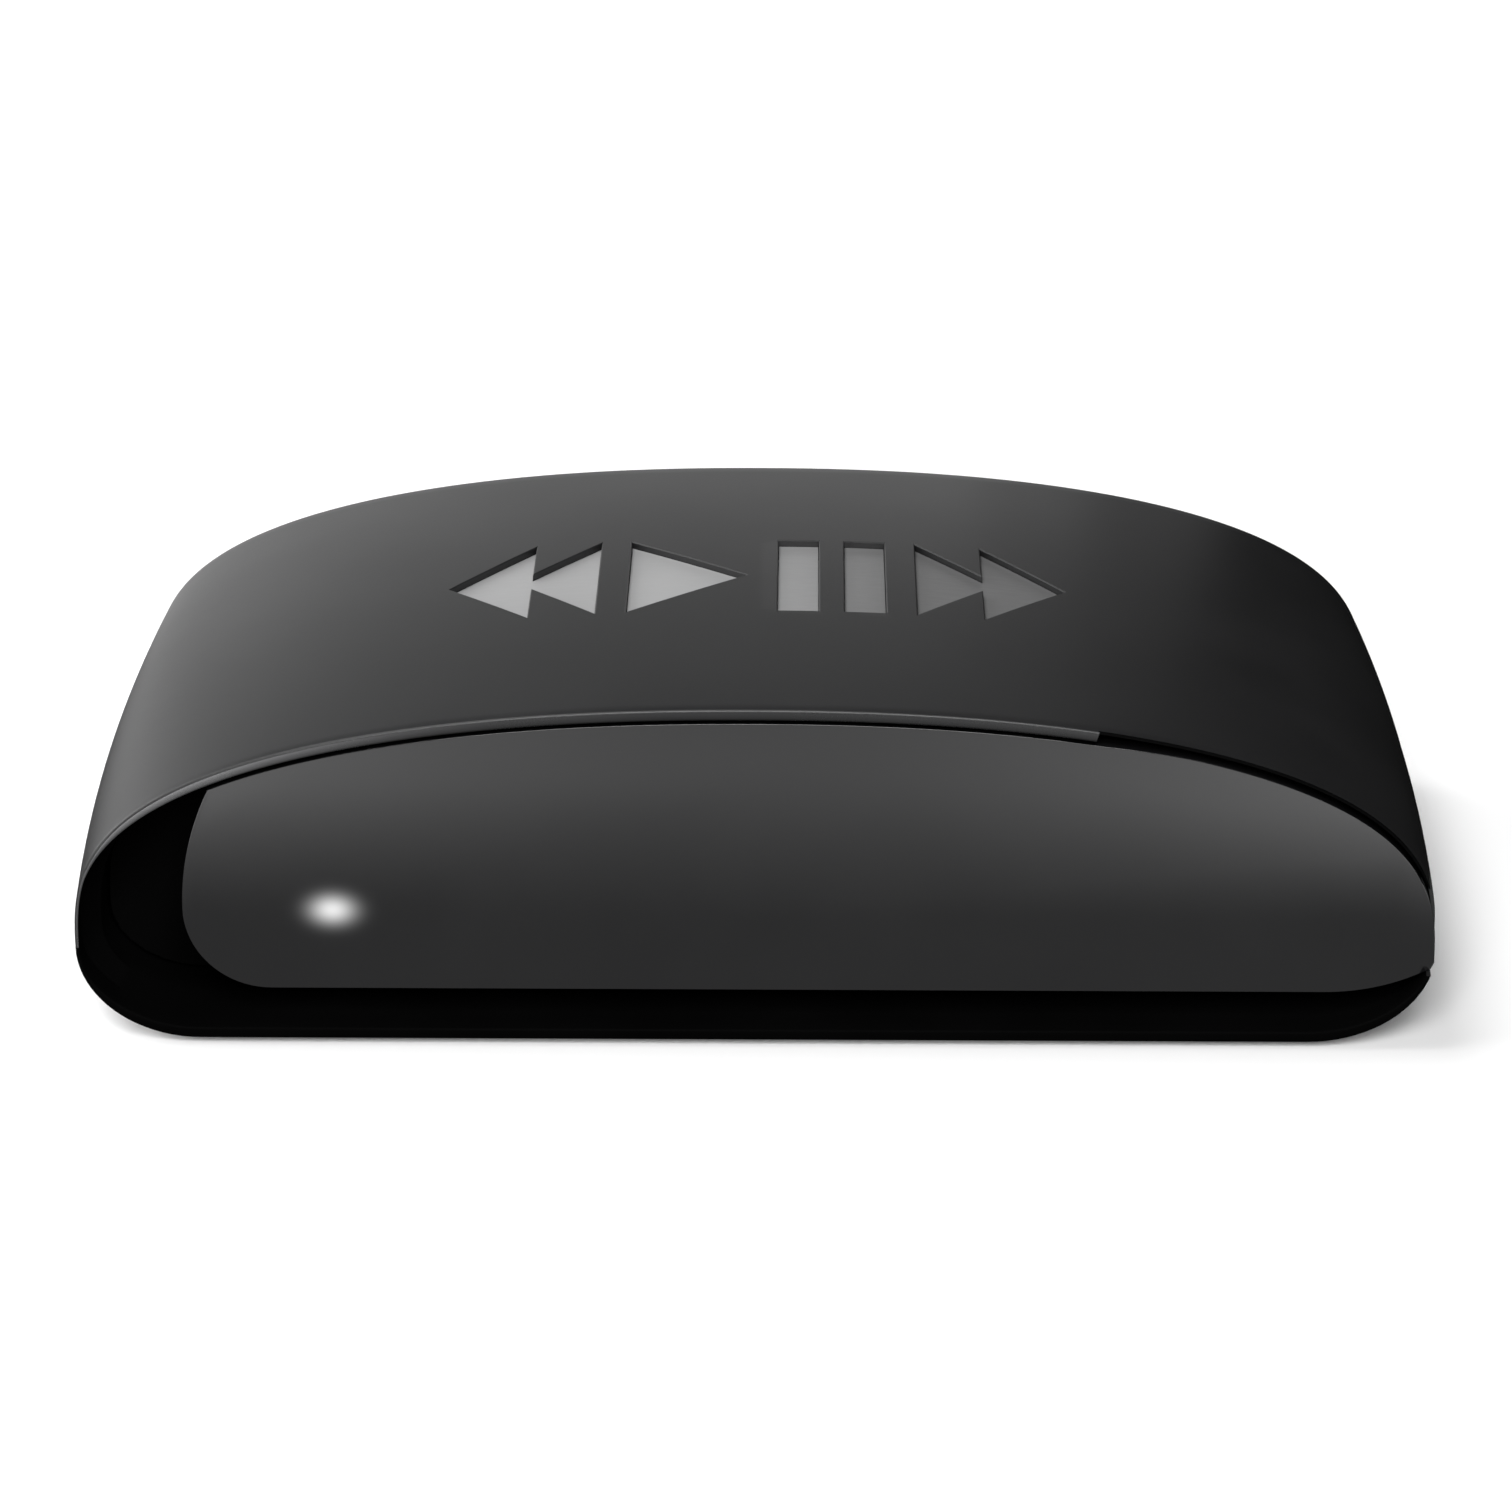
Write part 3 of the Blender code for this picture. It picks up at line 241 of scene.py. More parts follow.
def fullness(x, y, z):
    """Extra width of the front's lower right side, fading upwards and towards the middle of the depth."""
    if x <= 0 or y >= 0:
        return 0.0
    low = min(1.0, max(0.0, (FULLNESS_TOP - z) / (FULLNESS_TOP - FULLNESS_BOTTOM)))
    return RIGHT_FULLNESS * low * (-2 * y / DEPTH) * min(1.0, x / (RIM_WIDTH / 2)) ** 4


def turn_at(x):
    """Turn of the arch's point on the right side at this x."""
    angle = math.acos((x / (RIM_WIDTH / 2)) ** (ARCH_POWER_X / 2))
    return (angle / (math.pi / 2)) ** (1 / WAIST_CROWDING)


def corner_with_normal(side, share):
    """Point and normal on a lower corner: share is 0 at the waist and 1 where the flat base starts."""
    angle = math.pi / 2 * share
    centre_x = RIM_WIDTH / 2 - CORNER_RUN
    point = Vector((side * (centre_x + CORNER_RUN * math.cos(angle)), WAIST - WAIST * math.sin(angle)))
    normal = Vector((side * math.cos(angle) / CORNER_RUN, -math.sin(angle) / WAIST))
    return point, normal.normalized()


def section():
    """Cross-section points with normals, anticlockwise from the right waist."""
    turns = [step / ARCH_STEPS for step in range(2 * ARCH_STEPS + 1)]
    bevel_end = turn_at(BEVEL_START)
    turns = [turn for turn in turns if abs(turn - bevel_end) > SPLIT]
    turns = sorted(turns + [bevel_end - SPLIT, bevel_end + SPLIT])
    points = [arch_with_normal(turn) for turn in turns]
    points += [corner_with_normal(-1, step / CORNER_STEPS) for step in range(1, CORNER_STEPS + 1)]
    half_base = RIM_WIDTH / 2 - CORNER_RUN
    down = Vector((0.0, -1.0))
    for step in range(1, BASE_STEPS):
        points.append((Vector((half_base * (2 * step / BASE_STEPS - 1), 0.0)), down))
    points += [corner_with_normal(1, step / CORNER_STEPS) for step in range(CORNER_STEPS, 0, -1)]
    return points


SECTION = section()


def station_ring(station):
    """Ring round the sleeve: station gives the depth y and the inset for a point and its normal."""
    ring = []
    for point, normal in SECTION:
        y, inset = station(point, normal)
        moved = point - normal * inset
        x = moved.x * swell(y)
        ring.append(Vector((x + fullness(x, y, moved.y), y, moved.y + BASE)))
    return ring


def even_ring(y, inset):
    return station_ring(lambda point, normal: (y, inset))


def crown_height(x, y):
    """Height of the sleeve's outer surface above the point (x, y)."""
    across = min(1.0, abs(x) / swell(y) / (RIM_WIDTH / 2))
    return BASE + WAIST + (HEIGHT - WAIST) * (1 - across ** ARCH_POWER_X) ** (1 / ARCH_POWER_Z)


# Mesh helpers

def loft(rings, closed=False, shape=None):
    """Skin over equal rings of points: ends capped, or the last ring joined to the first."""
    shape = shape or bmesh.new()
    loops = [[shape.verts.new(point) for point in ring] for ring in rings]
    pairs = list(zip(loops, loops[1:]))
    if closed:
        pairs.append((loops[-1], loops[0]))
    else:
        shape.faces.new(loops[0])
        shape.faces.new(loops[-1])
    for near, far in pairs:
        for here in range(len(near)):
            after = (here + 1) % len(near)
            shape.faces.new((near[here], near[after], far[after], far[here]))
    return shape


def turned(profile, sides, axis="Z", shape=None, place=(0.0, 0.0, 0.0)):
    """Solid of revolution from (radius, height) points that run from one end to the other."""
    rings = []
    for radius, height in profile:
        ring = []
        for side in range(sides):
            angle = math.tau * side / sides
            across, along = radius * math.cos(angle), radius * math.sin(angle)
            local = (across, along, height) if axis == "Z" else (across, height, -along)
            ring.append(Vector(local) + Vector(place))
        rings.append(ring)
    return loft(rings, shape=shape)


def shrunk(outline, distance):
    """Anticlockwise outline with every edge moved in by the same distance."""
    moved = []
    for index, point in enumerate(outline):
        here = Vector(point)
        before = (here - Vector(outline[index - 1])).normalized()
        after = (Vector(outline[(index + 1) % len(outline)]) - here).normalized()
        inward_before = Vector((-before.y, before.x))
        inward_after = Vector((-after.y, after.x))
        middle = (inward_before + inward_after).normalized()
        moved.append(tuple(here + middle * (distance / middle.dot(inward_before))))
    return moved


def rounded(outline, radius, steps=6):
    """Anticlockwise outline with each corner replaced by an arc."""
    made = []
    for index, point in enumerate(outline):
        here = Vector(point)
        before = (Vector(outline[index - 1]) - here).normalized()
        after = (Vector(outline[(index + 1) % len(outline)]) - here).normalized()
        half = before.angle(after) / 2
        reach = radius / math.tan(half)
        centre = here + (before + after).normalized() * (radius / math.sin(half))
        start = (here + before * reach - centre).normalized()
        end = (here + after * reach - centre).normalized()
        made += [tuple(centre + start.slerp(end, step / steps) * radius) for step in range(steps + 1)]
    return made


def divided(outline, longest):
    """Outline with extra points, so that no edge is longer than this."""
    made = []
    for index, point in enumerate(outline):
        here = Vector(point)
        after = Vector(outline[(index + 1) % len(outline)])
        parts = max(1, math.ceil((after - here).length / longest))
        made += [tuple(here.lerp(after, part / parts)) for part in range(parts)]
    return made


def rectangle(low_x, low_y, high_x, high_y):
    return [(low_x, low_y), (high_x, low_y), (high_x, high_y), (low_x, high_y)]


def ring_y(outline, y):
    return [Vector((x, y, z)) for x, z in outline]


def ring_z(outline, z):
    return [Vector((x, y, z)) for x, y in outline]


def block(low, high, shape=None):
    outline = rectangle(low[0], low[1], high[0], high[1])
    return loft([ring_z(outline, low[2]), ring_z(outline, high[2])], shape=shape)


def edge_arc(rounding, steps=RIM_STEPS):
    """Quarter arc as (along, inward) pairs, from the end face round to the side."""
    angles = [math.pi / 2 * step / steps for step in range(steps, -1, -1)]
    return [(rounding * (1 - math.sin(a)), rounding * (1 - math.cos(a))) for a in angles]


def panel_y(outline, front, back, rounding, back_rounding=0.0):
    """Flat panel pulled along Y, with a rounded front edge and, if asked, a rounded back edge."""
    rings = [ring_y(shrunk(outline, inward), front + along) for along, inward in edge_arc(rounding)]
    if back_rounding:
        arc = list(reversed(edge_arc(back_rounding)))
        rings += [ring_y(shrunk(outline, inward), back - along) for along, inward in arc]
    else:
        rings.append(ring_y(outline, back))
    return loft(rings)


def make_object(name, shape, material=None):
    bmesh.ops.recalc_face_normals(shape, faces=shape.faces)
    mesh = bpy.data.meshes.new(name)
    shape.to_mesh(mesh)
    shape.free()
    mesh.shade_smooth()
    mesh.set_sharp_from_angle(angle=math.radians(SHARP_ANGLE))
    obj = bpy.data.objects.new(name, mesh)
    bpy.context.scene.collection.objects.link(obj)
    if material:
        mesh.materials.append(material)
    return obj


def boolean(target, operation, shape):
    """Exact Boolean, applied to the target's mesh at once."""
    helper = make_object(f"{target.name}_helper", shape)
    modifier = target.modifiers.new("cut", "BOOLEAN")
    modifier.operation = operation
    modifier.solver = "EXACT"
    modifier.object = helper
    bpy.context.view_layer.update()
    graph = bpy.context.evaluated_depsgraph_get()
    made = bpy.data.meshes.new_from_object(target.evaluated_get(graph))
    target.modifiers.clear()
    target.data = made
    made.name = target.name
    made.shade_smooth()
    made.set_sharp_from_angle(angle=math.radians(SHARP_ANGLE))
    bpy.data.objects.remove(helper, do_unlink=True)


def place(obj, body, *nodes, slot=None):
    """The piece rides on a body and stands for CAD nodes, which it hides; slot is not used."""
    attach(obj, body)
    if nodes:
        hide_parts(*nodes)


# Materials

def new_material(name, roughness, metallic, specular):
    material = bpy.data.materials.new(name)
    material.use_nodes = True
    shader = material.node_tree.nodes["Principled BSDF"]
    shader.inputs["Roughness"].default_value = roughness
    shader.inputs["Metallic"].default_value = metallic
    shader.inputs["Specular IOR Level"].default_value = specular
    return material, shader


def add_node(material, kind, **settings):
    node = material.node_tree.nodes.new(kind)
    for key, value in settings.items():
        setattr(node, key, value)
    return node


def link(material, source, target):
    material.node_tree.links.new(source, target)


def math_node(material, operation, first, second=None):
    node = add_node(material, "ShaderNodeMath", operation=operation)
    for socket, value in zip(node.inputs, (first, second)):
        if isinstance(value, bpy.types.NodeSocket):
            link(material, value, socket)
        elif value is not None:
            socket.default_value = value
    return node.outputs[0]


def object_noise(material, scale, detail=3.0, stretch=(1.0, 1.0, 1.0)):
    """Noise in the object's own coordinates; the scale is in features per metre."""
    coordinates = add_node(material, "ShaderNodeTexCoord")
    mapping = add_node(material, "ShaderNodeMapping")
    mapping.inputs["Scale"].default_value = stretch
    link(material, coordinates.outputs["Object"], mapping.inputs["Vector"])
    noise = add_node(material, "ShaderNodeTexNoise")
    noise.inputs["Scale"].default_value = scale
    noise.inputs["Detail"].default_value = detail
    link(material, mapping.outputs["Vector"], noise.inputs["Vector"])
    return noise.outputs["Fac"]


def remap(material, value, low, high, start=0.35, end=0.65):
    node = add_node(material, "ShaderNodeMapRange")
    for key, number in (("From Min", start), ("From Max", end), ("To Min", low), ("To Max", high)):
        node.inputs[key].default_value = number
    link(material, value, node.inputs["Value"])
    return node.outputs["Result"]


def mix_colour(material, factor, first, second):
    node = add_node(material, "ShaderNodeMix", data_type="RGBA")
    colour_inputs = [socket for socket in node.inputs if socket.type == "RGBA"]
    link(material, factor, node.inputs[0])
    for socket, value in zip(colour_inputs, (first, second)):
        if isinstance(value, bpy.types.NodeSocket):
            link(material, value, socket)
        else:
            socket.default_value = (*value, 1.0)
    return next(socket for socket in node.outputs if socket.type == "RGBA")


def finish(name, dark, light, roughness, metallic=0.0, specular=0.5, grain=9000.0, bump=0.1, spread=0.05,
           stretch=(1.0, 1.0, 1.0), wear=None, blotch=110.0):
    """Surface with slow blotches of colour and roughness, fine grain and, if asked, worn edges."""
    material, shader = new_material(name, roughness, metallic, specular)
    blotches = object_noise(material, blotch, 4.0)
    fine = object_noise(material, grain, 2.0, stretch)
    colour = mix_colour(material, remap(material, blotches, 0.0, 1.0), dark, light)
    if wear:
        pointiness = add_node(material, "ShaderNodeNewGeometry").outputs["Pointiness"]
        colour = mix_colour(material, remap(material, pointiness, 0.0, 1.0, 0.53, 0.62), colour, wear)
    link(material, colour, shader.inputs["Base Color"])
    mixed = math_node(material, "ADD", remap(material, blotches, roughness - spread, roughness + spread),
                      remap(material, fine, -spread / 2, spread / 2))
    link(material, mixed, shader.inputs["Roughness"])
    relief = add_node(material, "ShaderNodeBump")
    relief.inputs["Strength"].default_value = bump
    relief.inputs["Distance"].default_value = 0.03 * MM
    link(material, fine, relief.inputs["Height"])
    link(material, relief.outputs["Normal"], shader.inputs["Normal"])
    return material


def add_painted_led_glow(material, centre):
    """Painted glow of the status LED: a soft oval of emission in the smoked window itself, strongest at the
    centre.
    """
    coordinates = add_node(material, "ShaderNodeTexCoord")
    shifted = add_node(material, "ShaderNodeVectorMath", operation="SUBTRACT")
    shifted.inputs[1].default_value = centre
    link(material, coordinates.outputs["Object"], shifted.inputs[0])
    scaled = add_node(material, "ShaderNodeVectorMath", operation="MULTIPLY")
    scaled.inputs[1].default_value = (1 / PAINTED_LED_GLOW_X, 0.0, 1 / PAINTED_LED_GLOW_Z)
    link(material, shifted.outputs[0], scaled.inputs[0])
    squared = add_node(material, "ShaderNodeVectorMath", operation="DOT_PRODUCT")
    link(material, scaled.outputs[0], squared.inputs[0])
    link(material, scaled.outputs[0], squared.inputs[1])
    fade = math_node(material, "EXPONENT", math_node(material, "MULTIPLY", squared.outputs["Value"], -1.0))
    strength = math_node(material, "MULTIPLY", fade, PAINTED_LED_GLOW_STRENGTH)
    shader = material.node_tree.nodes["Principled BSDF"]
    shader.inputs["Emission Color"].default_value = (1.0, 1.0, 1.0, 1.0)
    link(material, strength, shader.inputs["Emission Strength"])


def add_painted_light_fade(material, dark, start, end):
    """Painted light: the colour darkens to a share of itself along +X, between two places, so one side looks
    lit and the other shaded.
    """
    shader = material.node_tree.nodes["Principled BSDF"]
    colour = shader.inputs["Base Color"].links[0].from_socket
    coordinates = add_node(material, "ShaderNodeTexCoord")
    split = add_node(material, "ShaderNodeSeparateXYZ")
    link(material, coordinates.outputs["Object"], split.inputs[0])
    share = remap(material, split.outputs["X"], 1.0, dark, start, end)
    share.node.interpolation_type = "SMOOTHSTEP"
    scaled = add_node(material, "ShaderNodeVectorMath", operation="SCALE")
    link(material, colour, scaled.inputs[0])
    link(material, share, scaled.inputs["Scale"])
    link(material, scaled.outputs[0], shader.inputs["Base Color"])


def add_traces(material):
    """Copper tracks under solder mask: bands along X and Y, and small round vias."""
    coordinates = add_node(material, "ShaderNodeTexCoord")
    brick = add_node(material, "ShaderNodeTexBrick")
    brick.inputs["Scale"].default_value = 420.0
    brick.inputs["Mortar Size"].default_value = 0.04
    brick.inputs["Color1"].default_value = (0.004, 0.035, 0.018, 1.0)
    brick.inputs["Color2"].default_value = (0.005, 0.045, 0.022, 1.0)
    brick.inputs["Mortar"].default_value = (0.012, 0.1, 0.045, 1.0)
    link(material, coordinates.outputs["Object"], brick.inputs["Vector"])
    cells = add_node(material, "ShaderNodeTexVoronoi")
    cells.inputs["Scale"].default_value = 450.0
    link(material, coordinates.outputs["Object"], cells.inputs["Vector"])
    via = remap(material, cells.outputs["Distance"], 1.0, 0.0, 0.1, 0.14)
    colour = mix_colour(material, via, brick.outputs["Color"], (0.5, 0.36, 0.12))
    link(material, colour, material.node_tree.nodes["Principled BSDF"].inputs["Base Color"])


def make_finishes():
    finishes = {
        "sleeve": finish("sleeve_finish", (0.0085, 0.0085, 0.009), (0.0105, 0.0105, 0.011), 0.46,
                         bump=0.1, spread=0.012, wear=(0.016, 0.016, 0.0165)),
        "rim": finish("rim_finish", (0.155, 0.155, 0.158), (0.17, 0.17, 0.173), 0.26, metallic=1.0,
                      bump=0.05, spread=0.02),
        # Near black and barely reflecting: painted shade on the sleeve's inside and lower lip and on the
        # window carrier
        "frame": finish("frame_and_painted_shade_finish", (0.001, 0.001, 0.001), (0.0015, 0.0015, 0.0015), 0.75, specular=0.02),
        "window": finish("window_finish", (0.006, 0.006, 0.0065), (0.008, 0.008, 0.0085), 0.16,
                         bump=0.01, spread=0.012),
        "inlay": finish("inlay_finish", (0.33, 0.33, 0.332), (0.36, 0.36, 0.362), 0.5, metallic=0.2,
                        grain=5000.0, stretch=(0.15, 1.0, 1.0), bump=0.05),
        "cover": finish("cover_finish", (0.012, 0.012, 0.012), (0.017, 0.017, 0.0175), 0.55, bump=0.25),
        "button": finish("button_finish", (0.016, 0.016, 0.0165), (0.022, 0.022, 0.0225), 0.42,
                         wear=(0.05, 0.05, 0.05)),
        "rubber": finish("rubber_finish", (0.012, 0.012, 0.012), (0.02, 0.02, 0.02), 0.85, specular=0.25,
                         grain=4000.0, bump=0.4),
        "label": finish("label_finish", (0.26, 0.265, 0.27), (0.3, 0.305, 0.31), 0.5,
                        grain=6000.0, bump=0.08),
        "steel": finish("steel_finish", (0.5, 0.5, 0.5), (0.62, 0.62, 0.61), 0.3, metallic=1.0,
                        grain=3000.0, stretch=(0.1, 1.0, 1.0), bump=0.08, wear=(0.75, 0.75, 0.75)),
        "aluminium": finish("aluminium_finish", (0.62, 0.63, 0.64), (0.72, 0.73, 0.74), 0.38, metallic=1.0,
                            grain=2500.0, stretch=(1.0, 0.1, 1.0), bump=0.1),
        "gold": finish("gold_finish", (0.78, 0.55, 0.22), (0.88, 0.66, 0.3), 0.25, metallic=1.0,
                       grain=6000.0, stretch=(1.0, 0.1, 1.0), bump=0.06),
        "contact_block": finish("contact_block_finish", (0.02, 0.02, 0.02), (0.028, 0.028, 0.028), 0.5),
        "chip": finish("chip_finish", (0.014, 0.014, 0.015), (0.022, 0.022, 0.023), 0.55, bump=0.3),
        "ferrite": finish("ferrite_finish", (0.03, 0.03, 0.032), (0.05, 0.05, 0.053), 0.75, bump=0.4),
        "gap_pad": finish("gap_pad_finish", (0.24, 0.3, 0.36), (0.3, 0.36, 0.42), 0.85,
                          grain=3000.0, bump=0.4),
        "clear_plastic": finish("clear_plastic_finish", (0.8, 0.82, 0.85), (0.86, 0.88, 0.9), 0.12,
                                bump=0.03),
        "led": finish("led_finish", (0.85, 0.84, 0.75), (0.9, 0.9, 0.85), 0.3, bump=0.03),
        "board": finish("board_finish", (0.004, 0.035, 0.018), (0.005, 0.045, 0.022), 0.4, bump=0.08),
    }
    clear = finishes["clear_plastic"].node_tree.nodes["Principled BSDF"]
    clear.inputs["Transmission Weight"].default_value = 0.7
    led = finishes["led"].node_tree.nodes["Principled BSDF"]
    led.inputs["Emission Color"].default_value = (1.0, 0.98, 0.94, 1.0)
    led.inputs["Emission Strength"].default_value = 1.0
    add_traces(finishes["board"])
    # Painted reflection on the symbol faces and painted highlight on the rim: both darken towards +X
    add_painted_light_fade(finishes["inlay"], SYMBOL_PAINTED_REFLECTION_DARK, SYMBOL_PAINTED_REFLECTION_START, SYMBOL_PAINTED_REFLECTION_END)
    add_painted_light_fade(finishes["rim"], RIM_PAINTED_HIGHLIGHT_DARK, RIM_PAINTED_HIGHLIGHT_START, RIM_PAINTED_HIGHLIGHT_END)
    return finishes


# Sleeve

def front_lip(normal):
    """Thickness of the front rim, which thins towards both sides."""
    return max(FRONT_LIP_LEAST, FRONT_LIP * abs(normal.y))


def rim_arc(lip, outer):
    """Arc of one rim edge as (along, inset) pairs, from the end face to the outer or the inner side."""
    arc = edge_arc(min(RIM_ROUNDING, lip * RIM_ROUNDING_SHARE))
    return arc if outer else [(along, lip - inward) for along, inward in arc]


def front_edge_station(step, outer):
    """Point of the front rim's rounding; right of the bevel's start the inner edge is cut back."""

    def station(point, normal):
        lip = front_lip(normal)
        along, inset = rim_arc(lip, outer)[step]
        if not outer and point.x > BEVEL_START and normal.y > 0:
            land = rim_arc(lip, True)[0][1]
            share = step / RIM_STEPS
            return FRONT + BEVEL_DEPTH * share, land + (lip - land) * share
        return FRONT + along, inset

    return station


def rear_edge_ring(step, outer):
    along, inset = rim_arc(REAR_LIP, outer)[step]
    return even_ring(REAR - along, inset)


def sleeve_bands():
    """Rings round the wall's own outline, each with the finish of the band that it starts."""
    rounding_steps = range(RIM_STEPS + 1)
    rings = [(station_ring(front_edge_station(step, True)), OUTSIDE) for step in rounding_steps]
    for step in range(1, SLEEVE_STATIONS):
        rings.append((even_ring(FRONT + DEPTH * step / SLEEVE_STATIONS, 0.0), OUTSIDE))
    rings += [(rear_edge_ring(step, True), OUTSIDE) for step in reversed(rounding_steps)]
    rings += [(rear_edge_ring(step, False), OUTSIDE) for step in rounding_steps]
    rings.append((even_ring(REAR - REAR_LIP_DEPTH, REAR_LIP), PAINTED_SHADE))
    inner_back = REAR - REAR_RAMP_DEPTH
    inner_front = FRONT + FRONT_RAMP_DEPTH
    for step in range(SLEEVE_STATIONS // 2 + 1):
        y = inner_back + (inner_front - inner_back) * step / (SLEEVE_STATIONS // 2)
        rings.append((even_ring(y, WALL), PAINTED_SHADE))
    rings.append((station_ring(lambda point, normal: (FRONT + FRONT_LIP_DEPTH, front_lip(normal))), PAINTED_SHADE))
    rings += [(station_ring(front_edge_station(step, False)), RIM) for step in reversed(rounding_steps)]
    return rings


def sleeve_body():
    """Closed sleeve: a coated outside, a reflective front rim, and painted shade on the inside and the lower
    lip, a near-black and barely reflecting finish.
    """
    bands = sleeve_bands()
    shape = loft([ring for ring, _ in bands], closed=True)
    finish_of_band = [band_finish for _, band_finish in bands]
    for index, face in enumerate(shape.faces):
        finish_index = finish_of_band[index // len(SECTION)]
        middle = face.calc_center_median()
        on_rim = finish_index == RIM or index < RIM_STEPS * len(SECTION)
        # Painted shade: the front rim's faces below the waist and right of the bevel's start take the
        # near-black finish
        if on_rim and (middle.z < BASE + WAIST or middle.x > BEVEL_START):
            finish_index = PAINTED_SHADE
        face.material_index = finish_index
    bmesh.ops.remove_doubles(shape, verts=shape.verts, dist=MERGE)
    return shape


def single_arrow(start, width):
    half = SYMBOL_HEIGHT / 2
    return [(start, SYMBOL_Y - half), (start + width, SYMBOL_Y), (start, SYMBOL_Y + half)]


def double_arrow(start):
    """Two overlapping arrows that point to +X."""
    half = SYMBOL_HEIGHT / 2
    second = start + ARROW_STEP
    notch = half * (1 - ARROW_STEP / ARROW_WIDTH)
    return [
        (start, SYMBOL_Y - half),
        (second, SYMBOL_Y - notch),
        (second, SYMBOL_Y - half),
        (second + ARROW_WIDTH, SYMBOL_Y),
        (second, SYMBOL_Y + half),
        (second, SYMBOL_Y + notch),
        (start, SYMBOL_Y + half),
    ]


def bar(start):
    half = SYMBOL_HEIGHT / 2
    return rectangle(start, SYMBOL_Y - half, start + BAR_WIDTH, SYMBOL_Y + half)


def mirrored(outline):
    return [(-x, y) for x, y in reversed(outline)]


def symbol_outlines():
    return (
        mirrored(double_arrow(REWIND_TIP)),
        single_arrow(PLAY_X, PLAY_WIDTH),
        bar(PAUSE_X),
        bar(PAUSE_X + BAR_WIDTH + BAR_GAP),
        double_arrow(FORWARD_X),
    )


def symbol_prisms(margin):
    """All symbols as upright prisms through the crown, each edge moved in by the margin."""
    shape = bmesh.new()
    for outline in symbol_outlines():
        edge = shrunk(outline, margin)
        loft([ring_z(edge, HEIGHT / 2), ring_z(edge, HEIGHT + BASE + MM)], shape=shape)
    return shape


def convex_symbols():
    """The symbols as convex outlines in two groups: a double arrow has one head in each."""
    first = [single_arrow(start, ARROW_WIDTH) for start in (REWIND_TIP, FORWARD_X)]
    second = [single_arrow(start + ARROW_STEP, ARROW_WIDTH) for start in (REWIND_TIP, FORWARD_X)]
    others = [single_arrow(PLAY_X, PLAY_WIDTH), bar(PAUSE_X), bar(PAUSE_X + BAR_WIDTH + BAR_GAP)]
    return [mirrored(first[0]), first[1], *others], [mirrored(second[0]), second[1]]


def flared_prisms(outlines):
    """Symbol cutters that open just under the crown's surface, for a fine chamfer round each symbol."""
    shape = bmesh.new()
    reach = 6 * SYMBOL_EDGE
    for outline in outlines:
        edge = divided(outline, OUTLINE_STEP)
        wide = shrunk(edge, -reach)
        rings = [
            ring_z(edge, HEIGHT / 2),
            [Vector((x, y, crown_height(x, y) - SYMBOL_EDGE)) for x, y in edge],
            [Vector((x, y, crown_height(x, y) - SYMBOL_EDGE + reach)) for x, y in wide],
        ]
        loft(rings, shape=shape)
    return shape


def make_sleeve(finishes):
    sleeve = make_object("sleeve_shell", sleeve_body(), finishes["sleeve"])
    sleeve.data.materials.append(finishes["rim"])
    # Third finish: near-black painted shade for the inside and the lower lip
    sleeve.data.materials.append(finishes["frame"])
    for outlines in convex_symbols():
        boolean(sleeve, "DIFFERENCE", flared_prisms(outlines))
    window_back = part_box("front_window")[1].y
    notch_low = (NOTCH_INNER, FRONT - MM, NOTCH_LOW + BASE)
    notch_high = (RIM_WIDTH / 2 + MM, window_back + GAP, NOTCH_HIGH + BASE)
    boolean(sleeve, "DIFFERENCE", block(notch_low, notch_high))
    recesses = bmesh.new()
    for number in range(1, 5):
        low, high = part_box(f"foot_{number}")
        centre = (low + high) / 2
        radius = (high.x - low.x) / 2 + GAP / 2
        profile = [(radius, -MM), (radius, high.z - FOOT_SINK)]
        turned(profile, ROUND_SIDES, shape=recesses, place=(centre.x, centre.y, 0.0))
    low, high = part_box("rating_label")
    outline = rounded(rectangle(low.x - GAP, low.y - GAP, high.x + GAP, high.y + GAP), MM)
    loft([ring_z(outline, BASE - MM), ring_z(outline, high.z + GAP)], shape=recesses)
    boolean(sleeve, "DIFFERENCE", recesses)
    place(sleeve, "housing", "outer_sleeve", slot="sleeve")


def inlay_strip(top_inset, bottom_inset):
    """Curved strip under the crown, between two insets from the sleeve's surface."""
    low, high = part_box("emblem_inlay")
    half_width = (high.x - low.x) / 2
    turns = [step / ARCH_STEPS for step in range(2 * ARCH_STEPS + 1)]
    turns = [turn for turn in turns if abs(arch(turn)[0]) <= half_width]
    upper = [arch(turn, inset=top_inset) for turn in turns]
    lower = [arch(turn, inset=bottom_inset) for turn in reversed(turns)]
    rings = []
    for step in range(INLAY_STEPS + 1):
        y = low.y + (high.y - low.y) * step / INLAY_STEPS
        rings.append([Vector((x * swell(y), y, z + BASE)) for x, z in upper + lower])
    return loft(rings)


def make_inlay(material):
    """Symbol faces under the sleeve's surface, on one curved strip."""
    top_inset = WALL + GAP
    bottom_inset = top_inset + 2 * GAP
    inlay = make_object("symbol_inlay", inlay_strip(SYMBOL_SINK, (top_inset + bottom_inset) / 2), material)
    boolean(inlay, "INTERSECT", symbol_prisms(SYMBOL_CLEARANCE))
    boolean(inlay, "UNION", inlay_strip(top_inset, bottom_inset))
    place(inlay, "housing", "emblem_inlay", slot="inlay")


# Window

def rising_arc(start_x, floor, end, steps=16):
    """Circular arc that leaves the floor level at start_x and rises to the end point."""
    run = end[0] - start_x
    rise = end[1] - floor
    radius = (run * run + rise * rise) / (2 * rise)
    sweep = math.asin(run / radius)
    angles = [sweep * step / steps for step in range(steps)]
    return [(start_x + radius * math.sin(a), floor + radius * (1 - math.cos(a))) for a in angles]


